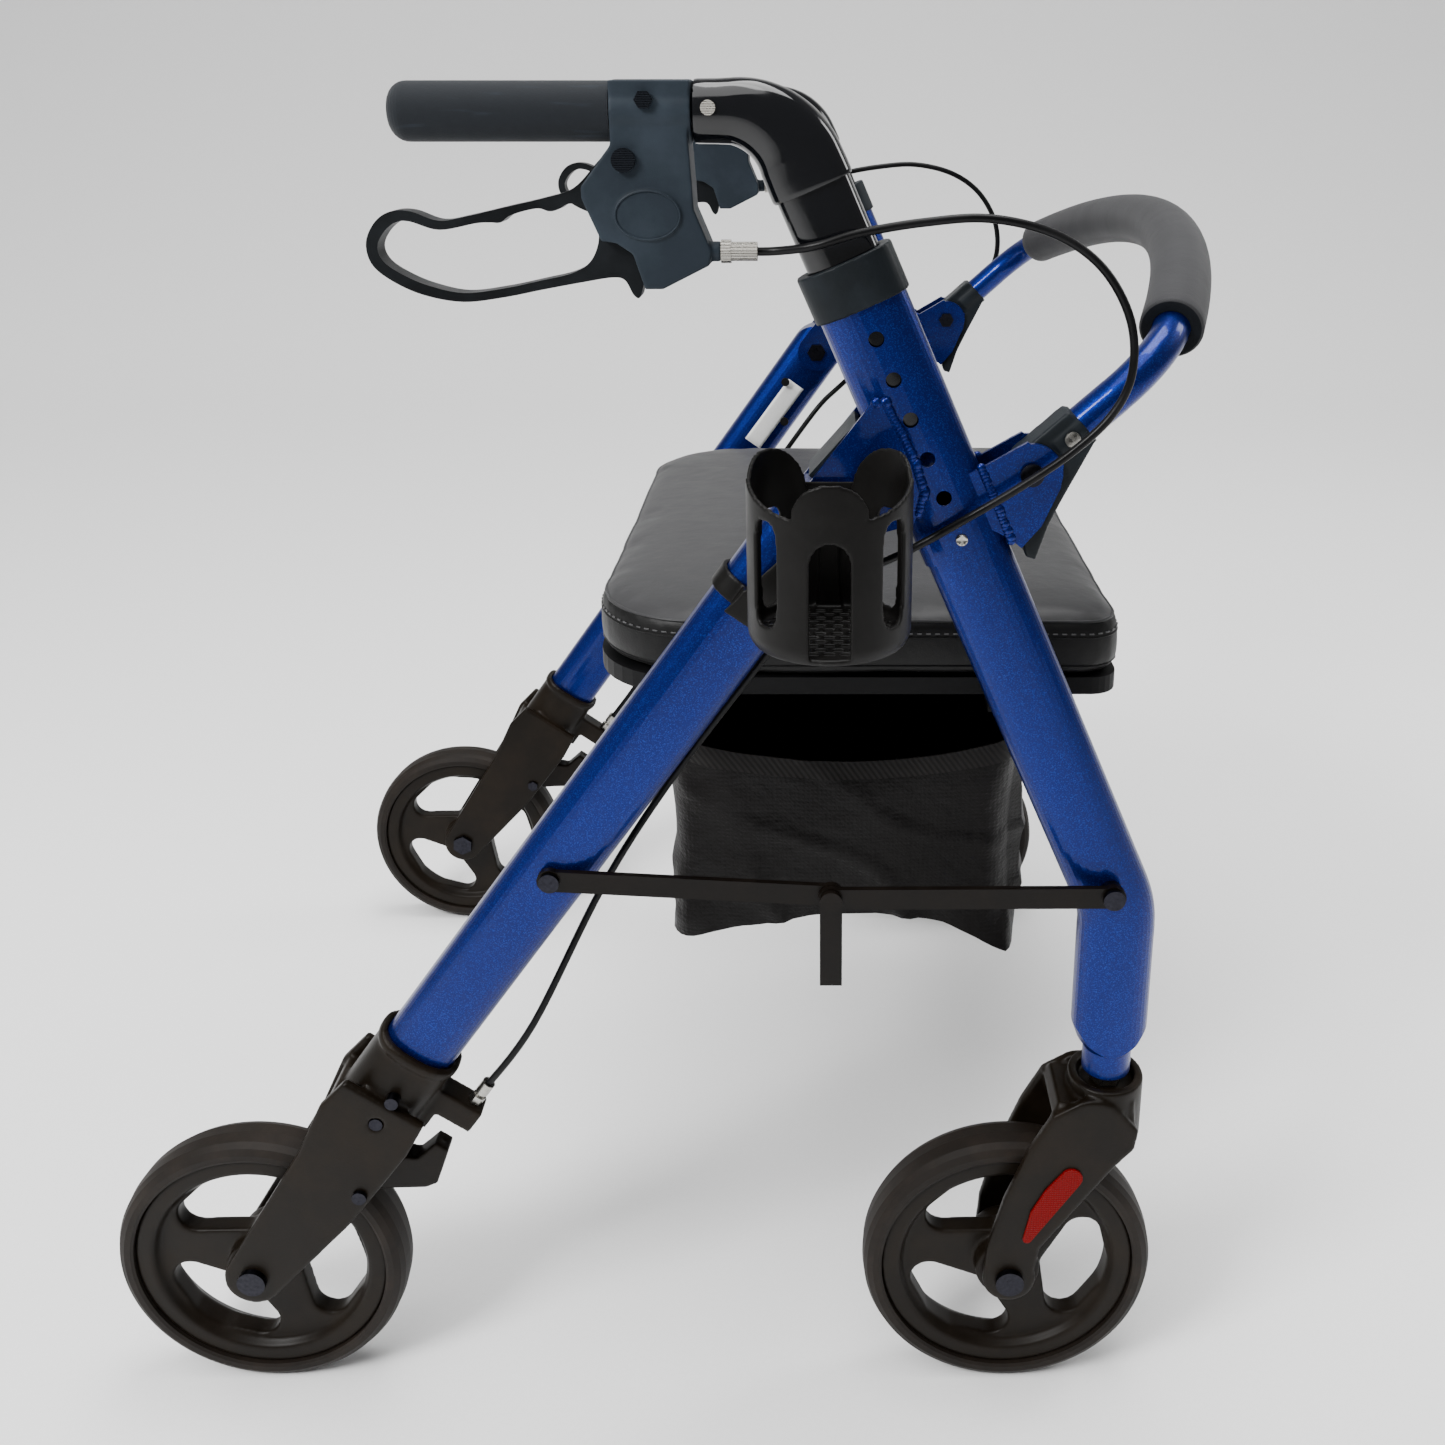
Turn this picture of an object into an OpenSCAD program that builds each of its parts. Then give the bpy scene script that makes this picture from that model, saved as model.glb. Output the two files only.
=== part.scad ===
/* [Overall] */
// Distance between the two leg planes
track = 586; // [500:1:680]
// Wheel radius, all four wheels
wheel_r = 100; // [90:1:104]
// Height of the hand grips' axis at the stored setting
grip_z = 867; // [850:1:930]
// Height of the bend in the front legs
bend_z = 378; // [360:1:400]
// Lean of the front legs from vertical, degrees
front_tilt = 23.5; // [20:0.5:26]
// Fold hinge, forward of the origin
hinge_x = 104; // [98:1:110]
// Fold hinge height
hinge_z = 636; // [628:1:644]
// Rear axle behind the fold hinge
rear_reach = 384; // [350:1:420]

/* [Leg tubes] */
// Oval leg tube, fore and aft
leg_w = 49.5; // [44:0.5:52]
// Oval leg tube, side to side
leg_d = 33; // [28:0.5:34]
// Leg tube wall
leg_wall = 1.5; // [1.2:0.1:2.5]
// Upper sleeve wall
sleeve_wall = 1.3; // [1:0.1:2]
// Top of the upper sleeve above the bend, along the leg
sleeve_top = 440; // [436:1:446]
// Bottom of the upper sleeve above the bend, along the leg
sleeve_bottom = 263; // [262:1:280]
// Topmost height hole above the bend, along the leg
hole_top = 401; // [399:1:404]
// Height hole spacing
hole_pitch = 25; // [22:1:25]
// Height hole radius
hole_r = 4.5; // [3.5:0.1:5]
// Number of height holes
hole_count = 5; // [3:1:5]
// Seat cross tube radius
cross_r = 11; // [9:0.5:12]

/* [Handles] */
// Oval handle stem, fore and aft
stem_w = 43; // [38:0.5:44]
// Oval handle stem, side to side
stem_d = 29; // [24:0.5:30]
// Handle tube radius inside the grip
bar_r = 11; // [9:0.5:11.5]
// Grip radius
grip_r = 16; // [14:0.5:18]
// Grip length
grip_len = 120; // [100:1:130]
// Brake lever width, side to side
lever_d = 16; // [12:0.5:18]
// Brake housing width, side to side
housing_d = 30; // [27:0.5:34]

/* [Wheels and forks] */
// Tyre width
tyre_w = 32; // [26:1:36]
// Tyre tread thickness
tyre_t = 13; // [8:1:18]
// Wheel hub width
hub_w = 38; // [34:1:40]
// Fork arm thickness
arm_t = 7; // [5:0.5:9]
// Room between a hub and each fork arm
arm_gap = 1.5; // [1:0.1:3]
// Axle bolt radius
axle_r = 6; // [4:0.5:7]
// Caster trail, stem axis to axle
trail = 62; // [55:1:66]
// Front caster stem axis, forward of the origin
stem_x = 300; // [290:1:306]

/* [Seat and bag] */
// Seat cushion width, side to side
seat_w = 476; // [380:1:490]
// Seat rear edge
seat_x0 = -50; // [-60:1:-40]
// Seat front edge
seat_x1 = 312; // [300:1:318]
// Height of the seat tubes' axes
seat_tube_z = 483; // [470:1:490]
// Seat cushion thickness
cushion_t = 46; // [30:1:50]
// Seat pan thickness
pan_t = 12; // [8:1:14]
// Bag width, side to side
bag_w = 400; // [320:1:430]
// Bag bottom height
bag_z0 = 290; // [270:1:320]
// Bag rim height
bag_z1 = 452; // [430:1:456]
// Bag cloth thickness
bag_t = 2.5; // [1.5:0.5:4]

/* [Backrest] */
// Backrest tube radius
back_r = 11; // [9:0.5:12]
// Foam sleeve radius
foam_r = 19; // [16:0.5:22]
// Slope of the backrest arms, degrees
back_slope = 42; // [38:1:46]
// Backrest middle ahead of its hinge, along the slope
back_reach = 174; // [160:1:180]

/* [Brace, cup holder and cable] */
// Brace link width
link_w = 14; // [12:0.5:18]
// Brace link thickness
link_t = 4; // [3:0.5:4.5]
// Drop of the middle pivot below the bolts' line
brace_drop = 5.5; // [3:0.5:8]
// Cup holder outer radius
cup_r = 45; // [38:1:48]
// Cup holder wall
cup_wall = 3; // [2:0.5:4]
// Cup holder height
cup_h = 104; // [90:1:110]
// Brake cable housing diameter
cable_d = 5; // [4:0.5:6]

/* [Hidden] */
$fn = 48;
fit = 0.05;      // running and sliding fit, radial
gap = 0.4;       // clear gap between parts that move past each other
slide_gap = 0.3; // stem in collar
cable_gap = 0.7; // cable end in its barrel
eps = 0.01;

rear_axle_x = hinge_x - rear_reach;
rear_angle = atan2(hinge_z - wheel_r, rear_reach);      // leg above horizontal
rear_len = norm([hinge_z - wheel_r, rear_reach]);       // axle to hinge
sleeve_w = leg_w + 2 * sleeve_wall + 0.1;
sleeve_d = leg_d + 2 * sleeve_wall + 0.1;
plate_t = 3;                                            // gusset and bracket plates
gusset_in = sleeve_d / 2 - 0.8;                         // gusset plate's inner face, sunk in the weld
bracket_in = 11.4;                                      // backrest bracket's inner face
arm_in = hub_w / 2 + arm_gap;                           // fork arm's inner face
arm_out = arm_in + arm_t;
axle_head = 4;
corner_t = (grip_z - bend_z) / cos(front_tilt);         // elbow corner along the leg
elbow_r = 42;                                           // elbow centre-line radius
elbow_cut = elbow_r * tan((90 - front_tilt) / 2);
link_in = leg_d / 2 + 1.6;                              // rear link's inner face
link2_in = link_in + link_t + gap;                      // front link's inner face
cup_gap = 9.5;                                          // leg face to cup back
cup_y = leg_d / 2 + cup_gap + cup_r;                    // cup axis outboard of the leg plane
cup_x = hinge_x + 10;
cup_z = hinge_z - 46;
// The origin lies under the middle of the overall box
near_reach = track / 2 + cup_y + cup_r;
far_reach = track / 2 + arm_out + axle_head;
mid_y = (near_reach - far_reach) / 2;

// A point on the front leg: t up the leg from the bend, w ahead of its axis
function fpt(t, w = 0) = [stem_x - t * sin(front_tilt) + w * cos(front_tilt),
                          bend_z + t * cos(front_tilt) + w * sin(front_tilt)];
// A point on the rear leg: u up the leg from the axle, w ahead of its axis
function rpt(u, w = 0) = [rear_axle_x + u * cos(rear_angle) + w * sin(rear_angle),
                          wheel_r + u * sin(rear_angle) - w * cos(rear_angle)];
corner = fpt(corner_t);
back_bolt = fpt(293, 51.5);                             // backrest hinge
brace_u = 377;                                          // rear brace bolt on the rear leg
brace_r = rpt(brace_u);
brace_f = fpt(21);
brace_line = brace_f - brace_r;
brace_mid = (brace_f + brace_r) / 2 + brace_drop * [brace_line[1], -brace_line[0]] / norm(brace_line);
front_tube_x = 240;
rear_tube_x = 10;
pan_z = seat_tube_z + cross_r + 3;
bolt_r = 4;
cup_seat = 13;                                          // depth of the close-fitting seat in the cup holder
brake_pin_r = 3;
brake_pin = [24, wheel_r + 4];                         // clear of the tyre
screw_r = 2.5;
screw_head_r = 4.5;
fork_screws = [[3.5, 160], [3.5, 180]];
clip_r = 2;
clips = [[-8, 618], [14, 585], [16, 440]];             // cable clips, as (ahead, up the leg)
pivot_r = 5;
mount_bolt_r = 5;

// Flat-sided oval outline, w by d
function signed_pow(v, p) = sign(v) * pow(abs(v), p);
function oval(w, d, n = 40) = [for (i = [0:n - 1]) let (a = 360 * (i + 0.5) / n)
    [w / 2 * signed_pow(cos(a), 0.8), d / 2 * signed_pow(sin(a), 0.8)]];
function arc(c, r, a0, a1, n = 8) = [for (i = [0:n]) let (a = a0 + (a1 - a0) * i / n)
    [c[0] + r * cos(a), c[1] + r * sin(a)]];

// ---- Placing ----
// One side of the walker: local +Y points outboard from the leg plane. s is -1 near, 1 far
module side(s) translate([0, mid_y + s * track / 2, 0]) mirror([0, s < 0 ? 1 : 0, 0]) children();
module both() for (s = [-1, 1]) side(s) children();
module middle() translate([0, mid_y, 0]) children();
module on_front(t) translate([stem_x, 0, bend_z]) rotate([0, -front_tilt, 0]) translate([0, 0, t]) children();
module on_rear(u) translate([rear_axle_x, 0, wheel_r]) rotate([0, 90 - rear_angle, 0])
    translate([0, 0, u]) children();
// Rod along Y at a side-plane point, from y0 to y1
module rod_y(p, r, y0, y1, sides = 40) translate([p[0], y0, p[1]]) rotate([-90, 0, 0])
    cylinder(r = r, h = y1 - y0, $fn = sides);
// Side-plane outline, from y0 to y1
module slab(y0, y1) translate([0, y1, 0]) rotate([90, 0, 0]) linear_extrude(y1 - y0) children();

// ---- Front frame ----
module leg_path(w, d, top, bottom) {
    bend_r = 62;
    cut = bend_r * tan(front_tilt / 2);
    on_front(cut) linear_extrude(top - cut) polygon(oval(w, d));
    translate([stem_x - bend_r, 0, bend_z - cut]) rotate([90, 0, 0]) rotate([0, 0, -0.8])
        rotate_extrude(angle = front_tilt + 1.6) translate([bend_r, 0]) polygon(oval(w - 0.1, d - 0.1));
    translate([stem_x, 0, bottom]) linear_extrude(bend_z - cut - bottom) polygon(oval(w, d));
}
module front_leg() color("#1a3f9e") {
    foot = 254;      // bottom of the stem tube
    dome = 272;      // bottom of the oval tube
    difference() {
        union() {
            leg_path(leg_w, leg_d, sleeve_bottom + 18, dome + 32);
            intersection() {
                translate([stem_x, 0, dome]) linear_extrude(32) polygon(oval(leg_w, leg_d));
                translate([stem_x, 0, dome - 1]) rotate_extrude()
                    polygon([[0, 0], [16, 0], [21, 8], [24.5, 18], [26, 28], [26, 40], [0, 40]]);
            }
            translate([stem_x, 0, foot]) cylinder(r = 16, h = dome - foot + 6);
        }
        leg_path(leg_w - 2 * leg_wall, leg_d - 2 * leg_wall, sleeve_bottom + 19, dome + 34);
        translate([stem_x, 0, foot - 1]) cylinder(r = axle_r, h = 40);
        rod_y(brace_f, bolt_r + fit, -60, 60);
    }
}
module front_sleeve() color("#1a3f9e") {
    difference() {
        union() {
            on_front(sleeve_bottom) linear_extrude(sleeve_top - sleeve_bottom) polygon(oval(sleeve_w, sleeve_d));
            // gusset plates for the fold hinge, welded on both faces
            for (y = [gusset_in, -gusset_in - plate_t]) slab(y, y + plate_t) union() {
                polygon([fpt(370, -15), fpt(368, -9), fpt(326, -7), fpt(308, -9), fpt(294, -22), hinge_pt(-30, 18), hinge_pt(150, 18)]);
                translate([hinge_x, hinge_z]) circle(18);
            }
            // bracket for the backrest hinge: two plates from the sleeve's front face
            for (y = [bracket_in, -bracket_in - plate_t]) slab(y, y + plate_t) union() {
                polygon([fpt(308, 16), fpt(308, 26), back_bolt + [-3, 19], back_bolt + [18, 6],
                    back_bolt + [17, -8], back_bolt + [7, -31], fpt(254, 30), fpt(262, 26), fpt(274, 16)]);
                translate(back_bolt) circle(18);
            }
        }
        on_front(sleeve_bottom - 20) linear_extrude(sleeve_top - sleeve_bottom + 40)
            polygon(oval(leg_w + 0.1, leg_d + 0.1));
        for (i = [0:hole_count - 1]) rod_y(fpt(hole_top - i * hole_pitch), hole_r, -30, 30);
        rod_y([hinge_x, hinge_z], pivot_r + fit, -60, 60);
        rod_y(back_bolt, bolt_r + fit, -60, 60);
    }
}
function hinge_pt(a, r) = [hinge_x + r * cos(a), hinge_z + r * sin(a)];
module front_cross_tube() color("#1a3f9e") middle() difference() {
    length = track - leg_d + 3;
    rod_y([front_tube_x, seat_tube_z], cross_r, -length / 2, length / 2);
    rod_y([front_tube_x, seat_tube_z], cross_r - leg_wall, -length / 2 - 1, length / 2 + 1);
}
module sleeve_collars() color("#20242a") both() on_front(sleeve_top - 21) difference() {
    linear_extrude(28) polygon(oval(sleeve_w + 5, sleeve_d + 5));
    translate([0, 0, -1]) linear_extrude(22) polygon(oval(sleeve_w + 0.1, sleeve_d + 0.1));
    linear_extrude(30) polygon(oval(stem_w + 2 * slide_gap, stem_d + 2 * slide_gap));
}
module button_bolt(p, r, y0, y1, head) {
    rod_y(p, r, y0, y1);
    rod_y(p, 1.7 * r, y1, y1 + head);
    rod_y(p, 1.8 * r, y0 - head, y0, 6);
}
module front_frame_bolts() color("#30343a") both() {
    button_bolt([hinge_x, hinge_z], pivot_r, -gusset_in - plate_t, gusset_in + plate_t, 2.2);
    button_bolt(back_bolt, bolt_r, -bracket_in - plate_t, bracket_in + plate_t, 3);
    button_bolt(brace_f, bolt_r, -leg_d / 2 - 0.5, link2_in + link_t + 0.2, 3);
    // spacer between the leg and the outer link
    difference() {
        rod_y(brace_f, 7, leg_d / 2 + 0.1, link2_in - 0.2);
        rod_y(brace_f, bolt_r, 0, 40);
    }
}
module gusset_pads() color("#30343a") both() slab(-gusset_in + 0.1, gusset_in - 0.1) {
    foot = hinge_pt(142.5, 22);
    top = fpt(366, -19 - sleeve_wall);
    run = (top - foot) / norm(top - foot);
    drop = [run[1], -run[0]];
    a = foot + 24 * run;
    b = top - 10 * run;
    polygon([a, b, b + 3 * drop, a + 3 * drop]);
}
module caster_stems() color("#9a9da1") both() translate([stem_x, 0, 0]) {
    translate([0, 0, 204.6]) cylinder(r = axle_r, h = 292 - 204.6);
    translate([0, 0, 198]) cylinder(r = 9, h = 6.6, $fn = 6);
    difference() {
        translate([0, 0, 244.5]) cylinder(r = 11, h = 9.5, $fn = 6);
        cylinder(r = axle_r, h = 300);
    }
}
module storage_bag() color("#17181a") middle() {
    x0 = rear_tube_x - cross_r - 0.3;
    x1 = front_tube_x + cross_r + 0.3;
    difference() {
        translate([x0, -bag_w / 2, bag_z0]) cube([x1 - x0, bag_w, bag_z1 - bag_z0]);
        translate([x0 + bag_t, -bag_w / 2 + bag_t, bag_z0 + bag_t])
            cube([x1 - x0 - 2 * bag_t, bag_w - 2 * bag_t, bag_z1 - bag_z0]);
    }
    // hanging tabs, stitched to the rim and looped over the seat tubes
    for (y = [-0.36, 0, 0.36], end = [0, 1]) translate([0, y * bag_w, 0]) {
        x = end == 0 ? x0 - 1.2 : x1;
        tube = end == 0 ? rear_tube_x : front_tube_x;
        translate([x, -12.5, bag_z1 - 30]) cube([1.2, 25, seat_tube_z - bag_z1 + 30]);
        difference() {
            rod_y([tube, seat_tube_z], cross_r + 1.5, -12.5, 12.5);
            rod_y([tube, seat_tube_z], cross_r + 0.3, -13, 13);
            translate([tube - 20, -13, seat_tube_z - 20]) cube([40, 26, 20]);
        }
    }
}
module height_knobs() color("#202020") both() {
    p = fpt(hole_top - 2 * hole_pitch);
    rod_y(p, 15, -sleeve_d / 2 - 16, -sleeve_d / 2 - 4);
    rod_y(p, 9, -sleeve_d / 2 - 4, -max(sleeve_d / 2, gusset_in + plate_t) - 0.2);
    rod_y(p, hole_r - 0.5, -sleeve_d / 2 - 0.5, -stem_d / 2 - 0.5);
}

// ---- Rear frame ----
module rear_leg() color("#1a3f9e") on_rear(0) difference() {
    foot = 152;
    end_r = leg_w / 2;
    intersection() {
        translate([0, 0, foot]) linear_extrude(rear_len + end_r - foot) polygon(oval(leg_w, leg_d));
        union() {
            translate([-50, -50, foot]) cube([100, 100, rear_len - foot]);
            rod_y([0, rear_len], end_r, -50, 50, 64);
        }
    }
    translate([0, 0, foot - 1]) linear_extrude(rear_len - 30 - foot)
        polygon(oval(leg_w - 2 * leg_wall, leg_d - 2 * leg_wall));
    rod_y([0, rear_len], pivot_r + fit, -60, 60);
    rod_y([0, brace_u], bolt_r + fit, -60, 60);
    for (p = fork_screws) rod_y(p, screw_r + fit, 0, 60);
    for (p = clips) rod_y(p, clip_r + fit, -60, 0);
}
module rear_cross_tube() color("#1a3f9e") middle() difference() {
    length = track - leg_d + 3;
    rod_y([rear_tube_x, seat_tube_z], cross_r, -length / 2, length / 2);
    rod_y([rear_tube_x, seat_tube_z], cross_r - leg_wall, -length / 2 - 1, length / 2 + 1);
}
module rear_fork() color("#1d1a18") on_rear(0) difference() {
    union() {
        // socket round the leg's foot, with its lip
        translate([0, 0, 148]) linear_extrude(64) polygon(oval(leg_w + 7, leg_d + 9));
        translate([0, 0, 206]) linear_extrude(6) polygon(oval(leg_w + 10, leg_d + 12));
        for (s = [-1, 1]) slab_local(s) union() {
            polygon(concat([[-20, 0], [-27, 110], [-34, 150], [-30, 176], [30, 176], [33, 150],
                [31, 81], [20, 0]]));
            circle(20, $fn = 64);
        }
        // cheek webs that join the arms to the socket
        translate([-31, -arm_out, 148]) cube([62, 2 * arm_out, 10]);
        // cable stop fin
        translate([24, -9, 174]) cube([37, 18, 18]);
        translate([24, -9, 160]) cube([11, 18, 16]);
    }
    // room for the tyre, the leg and the bolts
    rod_y([0, 0], wheel_r + 4, -arm_in, arm_in, 96);
    translate([0, 0, 152]) linear_extrude(70) polygon(oval(leg_w + 0.1, leg_d + 0.1));
    rod_y([0, 0], axle_r + fit, -60, 60);
    rod_y(brake_pin, brake_pin_r + fit, -60, 60);
    for (p = fork_screws) {
        rod_y(p, screw_r + fit, 0, 60);
        rod_y(p, screw_head_r + fit, leg_d / 2 + 4.5, 60);
    }
    translate([57 - 4, 0, 170]) cylinder(r = 3.1, h = 30);
}
// Fork arm outline drawn as (ahead, up the leg), one arm each side
module slab_local(s) slab(s < 0 ? -arm_out : arm_in, s < 0 ? -arm_in : arm_out) children();
module hex_bolt(p, r, y0, y1, head) {
    rod_y(p, r, y0, y1);
    rod_y(p, 1.6 * r, y1, y1 + head);
    rod_y(p, 1.8 * r, y0 - head, y0, 6);
}
module rear_frame_bolts() color("#3a3c40") both() {
    on_rear(0) {
        hex_bolt([0, 0], axle_r, -arm_out, arm_out, axle_head);
        hex_bolt(brake_pin, brake_pin_r, -arm_out, arm_out, 2.5);
        for (p = fork_screws) {
            rod_y(p, screw_r, leg_d / 2 - leg_wall, arm_out - 1);
            rod_y(p, screw_head_r, leg_d / 2 + 4.5, arm_out);
        }
    }
    hex_bolt(brace_r, bolt_r, -leg_d / 2 - 0.5, link_in + link_t + 0.2, 2.5);
}
module cup_holder() color("#1b1c1e") side(-1) translate([cup_x, cup_y, cup_z]) difference() {
    union() {
        difference() {
            cylinder(r = cup_r, h = cup_h, $fn = 96);
            translate([0, 0, cup_wall]) cylinder(r = cup_r - cup_wall, h = cup_h, $fn = 96);
        }
        translate([-14, -cup_r, 8]) cube([28, 5, 62]);
    }
    translate([0, 0, cup_wall]) cylinder(r = cup_r - cup_wall, h = cup_h, $fn = 96);
    // the wall above the seat of the cup stands off
    translate([0, 0, cup_wall + cup_seat]) cylinder(r = cup_r - cup_wall + 0.5, h = cup_h, $fn = 96);
    // side and rear windows, the notches beside the front petal, and the low back
    for (s = [-1, 1]) {
        cup_wedge(s, 44, 70, 18, 57);
        cup_wedge(s, 104, 135, 18, 49);
        cup_wedge(s, 31, 36, 80, 60);
        cup_wedge(s, 35, 62, 85, 60);
        cup_wedge(s, 61, 86, 91, 60);
        cup_wedge(s, 148, 181, 76, 60);
    }
    cup_wedge(1, -32, 32, 98, 60);
    // drainage and the slot up the front petal
    for (x = [-15, 0, 15], y = [-16, 0, 16]) translate([x, y, -1]) cylinder(r = 4, h = 10);
    translate([-12, 0, 16]) cube([24, 60, 30]);
    rod_y([0, 46], 12, 0, 60);
}
// Cutter over a stretch of the cup's wall: angles from straight outboard, from z0 up by dz
module cup_wedge(s, a0, a1, z0, dz) translate([0, 0, z0]) linear_extrude(dz)
    polygon([for (k = [0:8]) let (a = 90 - s * (a0 + (a1 - a0) * k / 8)) [60 * cos(a), 60 * sin(a)],
        [0, 0]]);
module cup_clamp() color("#202124") side(-1) {
    on_rear(594) difference() {
        union() {
            linear_extrude(14) polygon(oval(leg_w + 6, leg_d + 6));
            translate([-12, 0, 0]) cube([24, leg_d / 2 + cup_gap - 1, 14]);
        }
        translate([0, 0, -1]) linear_extrude(16) polygon(oval(leg_w + 0.1, leg_d + 0.1));
    }
    y1 = leg_d / 2 + cup_gap;
    slab(y1 - 2, y1) polygon([rpt(590, -14), rpt(590, 16), [cup_x + 20, cup_z + 10],
        [cup_x + 20, cup_z + 76], [cup_x - 18, cup_z + 76], [cup_x - 18, cup_z + 40]]);
}
module cable_clips() color("#141414") both() on_rear(0) for (p = clips) {
    rod_y(p, clip_r, -leg_d / 2 - 3, -leg_d / 2 + leg_wall + 1);
    rod_y(p, 4, -leg_d / 2 - 6, -leg_d / 2 - 3);
}
module cable_adjusters() color("#b9bbbd") both() on_rear(0) translate([57 - 4, 0, 176]) difference() {
    union() {
        cylinder(r = 3, h = 34);
        translate([0, 0, 16.2]) cylinder(r = 5, h = 6, $fn = 6);
        translate([0, 0, 25]) cylinder(r = 4.5, h = 9);
    }
    translate([0, 0, -1]) cylinder(r = 1, h = 28);
    translate([0, 0, 24]) cylinder(r = cable_d / 2 + cable_gap, h = 12);
}

// ---- Brake cables: round points chosen along the real route, side-plane x, outboard y, z ----
cable_route = [[69, 8, 793], [84, 9, 793.2], [106, 20, 797], [130, 22, 804], [165, 24, 810], [200, 24, 812],
    [235, 24, 804], [262, 24, 786], [279, 24, 758], [282, 24, 728], [272, 24, 704],
    [250, 24, 682], [222, 24, 662], [192, 23, 643], [165, 20, 626], [143, 8, 611],
    [124, -10, 598], [104, -22, 580], [66, -24, 528], [10, -24, 450], [-34, -16, 380],
    [-82, 0, 286], [-118.7, 0, 234.1]];
function knot(k) = cable_route[max(0, min(len(cable_route) - 1, k))];
function smooth_point(i, s) = let (a = knot(i - 1), b = knot(i), c = knot(i + 1), d = knot(i + 2))
    0.5 * (2 * b + (c - a) * s + (2 * a - 5 * b + 4 * c - d) * s * s + (3 * b - a - 3 * c + d) * s * s * s);
cable_path = concat([for (i = [0:len(cable_route) - 2], s = [0, 0.5]) smooth_point(i, s)],
    [cable_route[len(cable_route) - 1]]);
function unit(v) = v / norm(v);
function heading(k) = unit(cable_path[min(len(cable_path) - 1, k + 1)] - cable_path[max(0, k - 1)]);
module cable_tube() {
    rings = len(cable_path);
    points = [for (k = [0:rings - 1]) let (d = heading(k), u = unit(cross(d, [0, 1, 0.2])), v = cross(d, u))
        for (i = [0:7]) cable_path[k] + cable_d / 2 * (cos(i * 45) * u + sin(i * 45) * v)];
    faces = concat([[for (i = [7:-1:0]) i]],
        [for (k = [0:rings - 2], i = [0:7]) [k * 8 + i, k * 8 + (i + 1) % 8, (k + 1) * 8 + (i + 1) % 8, (k + 1) * 8 + i]],
        [[for (i = [0:7]) (rings - 1) * 8 + i]]);
    color("#111111") polyhedron(points, faces);
}

// ---- Wheels ----
module tyre(p) color("#2a2523") rod_profile(p) polygon([[wheel_r - tyre_t, -tyre_w / 2 + 1],
    [wheel_r - tyre_t + 2, -tyre_w / 2], [wheel_r - 7, -tyre_w / 2], [wheel_r - 3, -tyre_w / 2 + 2.5],
    [wheel_r - 0.8, -tyre_w / 2 + 7], [wheel_r, 0], [wheel_r - 0.8, tyre_w / 2 - 7],
    [wheel_r - 3, tyre_w / 2 - 2.5], [wheel_r - 7, tyre_w / 2], [wheel_r - tyre_t + 2, tyre_w / 2],
    [wheel_r - tyre_t, tyre_w / 2 - 1]]);
module rod_profile(p) translate([p[0], 0, p[1]]) rotate([90, 0, 0]) rotate_extrude($fn = 96) children();
rim_hole = 72;                                          // outer reach of the rim's openings
rim_hub = 22;
module rim(p) color("#1e1a18") {
    rod_profile(p) polygon([[rim_hole, -8], [rim_hole + 3, -13], [wheel_r - tyre_t, -13],
        [wheel_r - tyre_t, 13], [rim_hole + 3, 13], [rim_hole, 8]]);
    difference() {
        union() {
            rod_y(p, rim_hub, -hub_w / 2, hub_w / 2, 64);
            rod_y(p, rim_hole + 1, -7, 7, 96);
        }
        rod_y(p, axle_r + fit, -60, 60);
        for (a = [50, 170, 290]) translate([p[0], 0, p[1]]) rotate([0, -a - 60, 0]) spoke_opening();
    }
}
// One rounded opening, centred on local +X
module spoke_opening() slab(-30, 30) intersection() {
    circle(rim_hole - 1, $fn = 96);
    hull() {
        translate([33, 0]) circle(8, $fn = 32);
        for (s = [-1, 1]) translate([56 * cos(31), 56 * sin(31) * s]) circle(13, $fn = 32);
        translate([62, 0]) circle(12, $fn = 32);
    }
}
rear_axle = [rear_axle_x, wheel_r];
front_axle = [stem_x - trail, wheel_r];

// ---- Caster forks ----
module caster_fork() color("#1d1a18") difference() {
    union() {
        for (s = [-1, 1]) slab(s < 0 ? -arm_out : arm_in, s < 0 ? -arm_in : arm_out) {
            circle_at(front_axle, 18);
            polygon(arm_outline());
        }
        // crown over the wheel
        slab(-arm_in - 1, arm_in + 1) polygon([[262, 232], [266, 240], [stem_x + 16, 240],
            [stem_x + 18, 216], [stem_x + 14, 205], [stem_x - 30, 207]]);
        translate([stem_x, 0, 205]) cylinder(r = 25, h = 45, $fn = 64);
    }
    rod_y(front_axle, wheel_r + 4, -arm_in, arm_in, 96);
    rod_y(front_axle, axle_r + fit, -60, 60);
    translate([stem_x, 0, 150]) cylinder(r = axle_r + fit, h = 120);
    translate([stem_x, 0, 243]) cylinder(r = 19, h = 20);
    translate([stem_x, 0, 190]) cylinder(r = 11.5, h = 15);
}
module circle_at(p, r) translate(p) circle(r, $fn = 64);
// Fork arm: swept back edge, round shoulder and straight front edge
function arm_outline() = concat(
    [front_axle + [-18, 0], front_axle + [-16, 26], front_axle + [-6, 66], front_axle + [10, 108],
        front_axle + [24, 134]],
    arc([stem_x - 12, 222], 24, 110, 40, 4), [[stem_x + 19, 222], [stem_x + 17, 208]],
    [[stem_x + 5, 194], front_axle + [20, 26], front_axle + [17, 6]]);
module caster_axle() color("#3a3c40") hex_bolt(front_axle, axle_r, -arm_out, arm_out, axle_head);
module reflector() color("#b3141a") slab(arm_out, arm_out + 1.5) polygon(concat(
    arc(front_axle + [38, 86], 7.5, 130, -40, 6), arc([front_axle[0] + 10.5, front_axle[1] + 36], 3, -40, -170, 4),
    [front_axle + [12, 58], front_axle + [21, 76]]));

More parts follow.
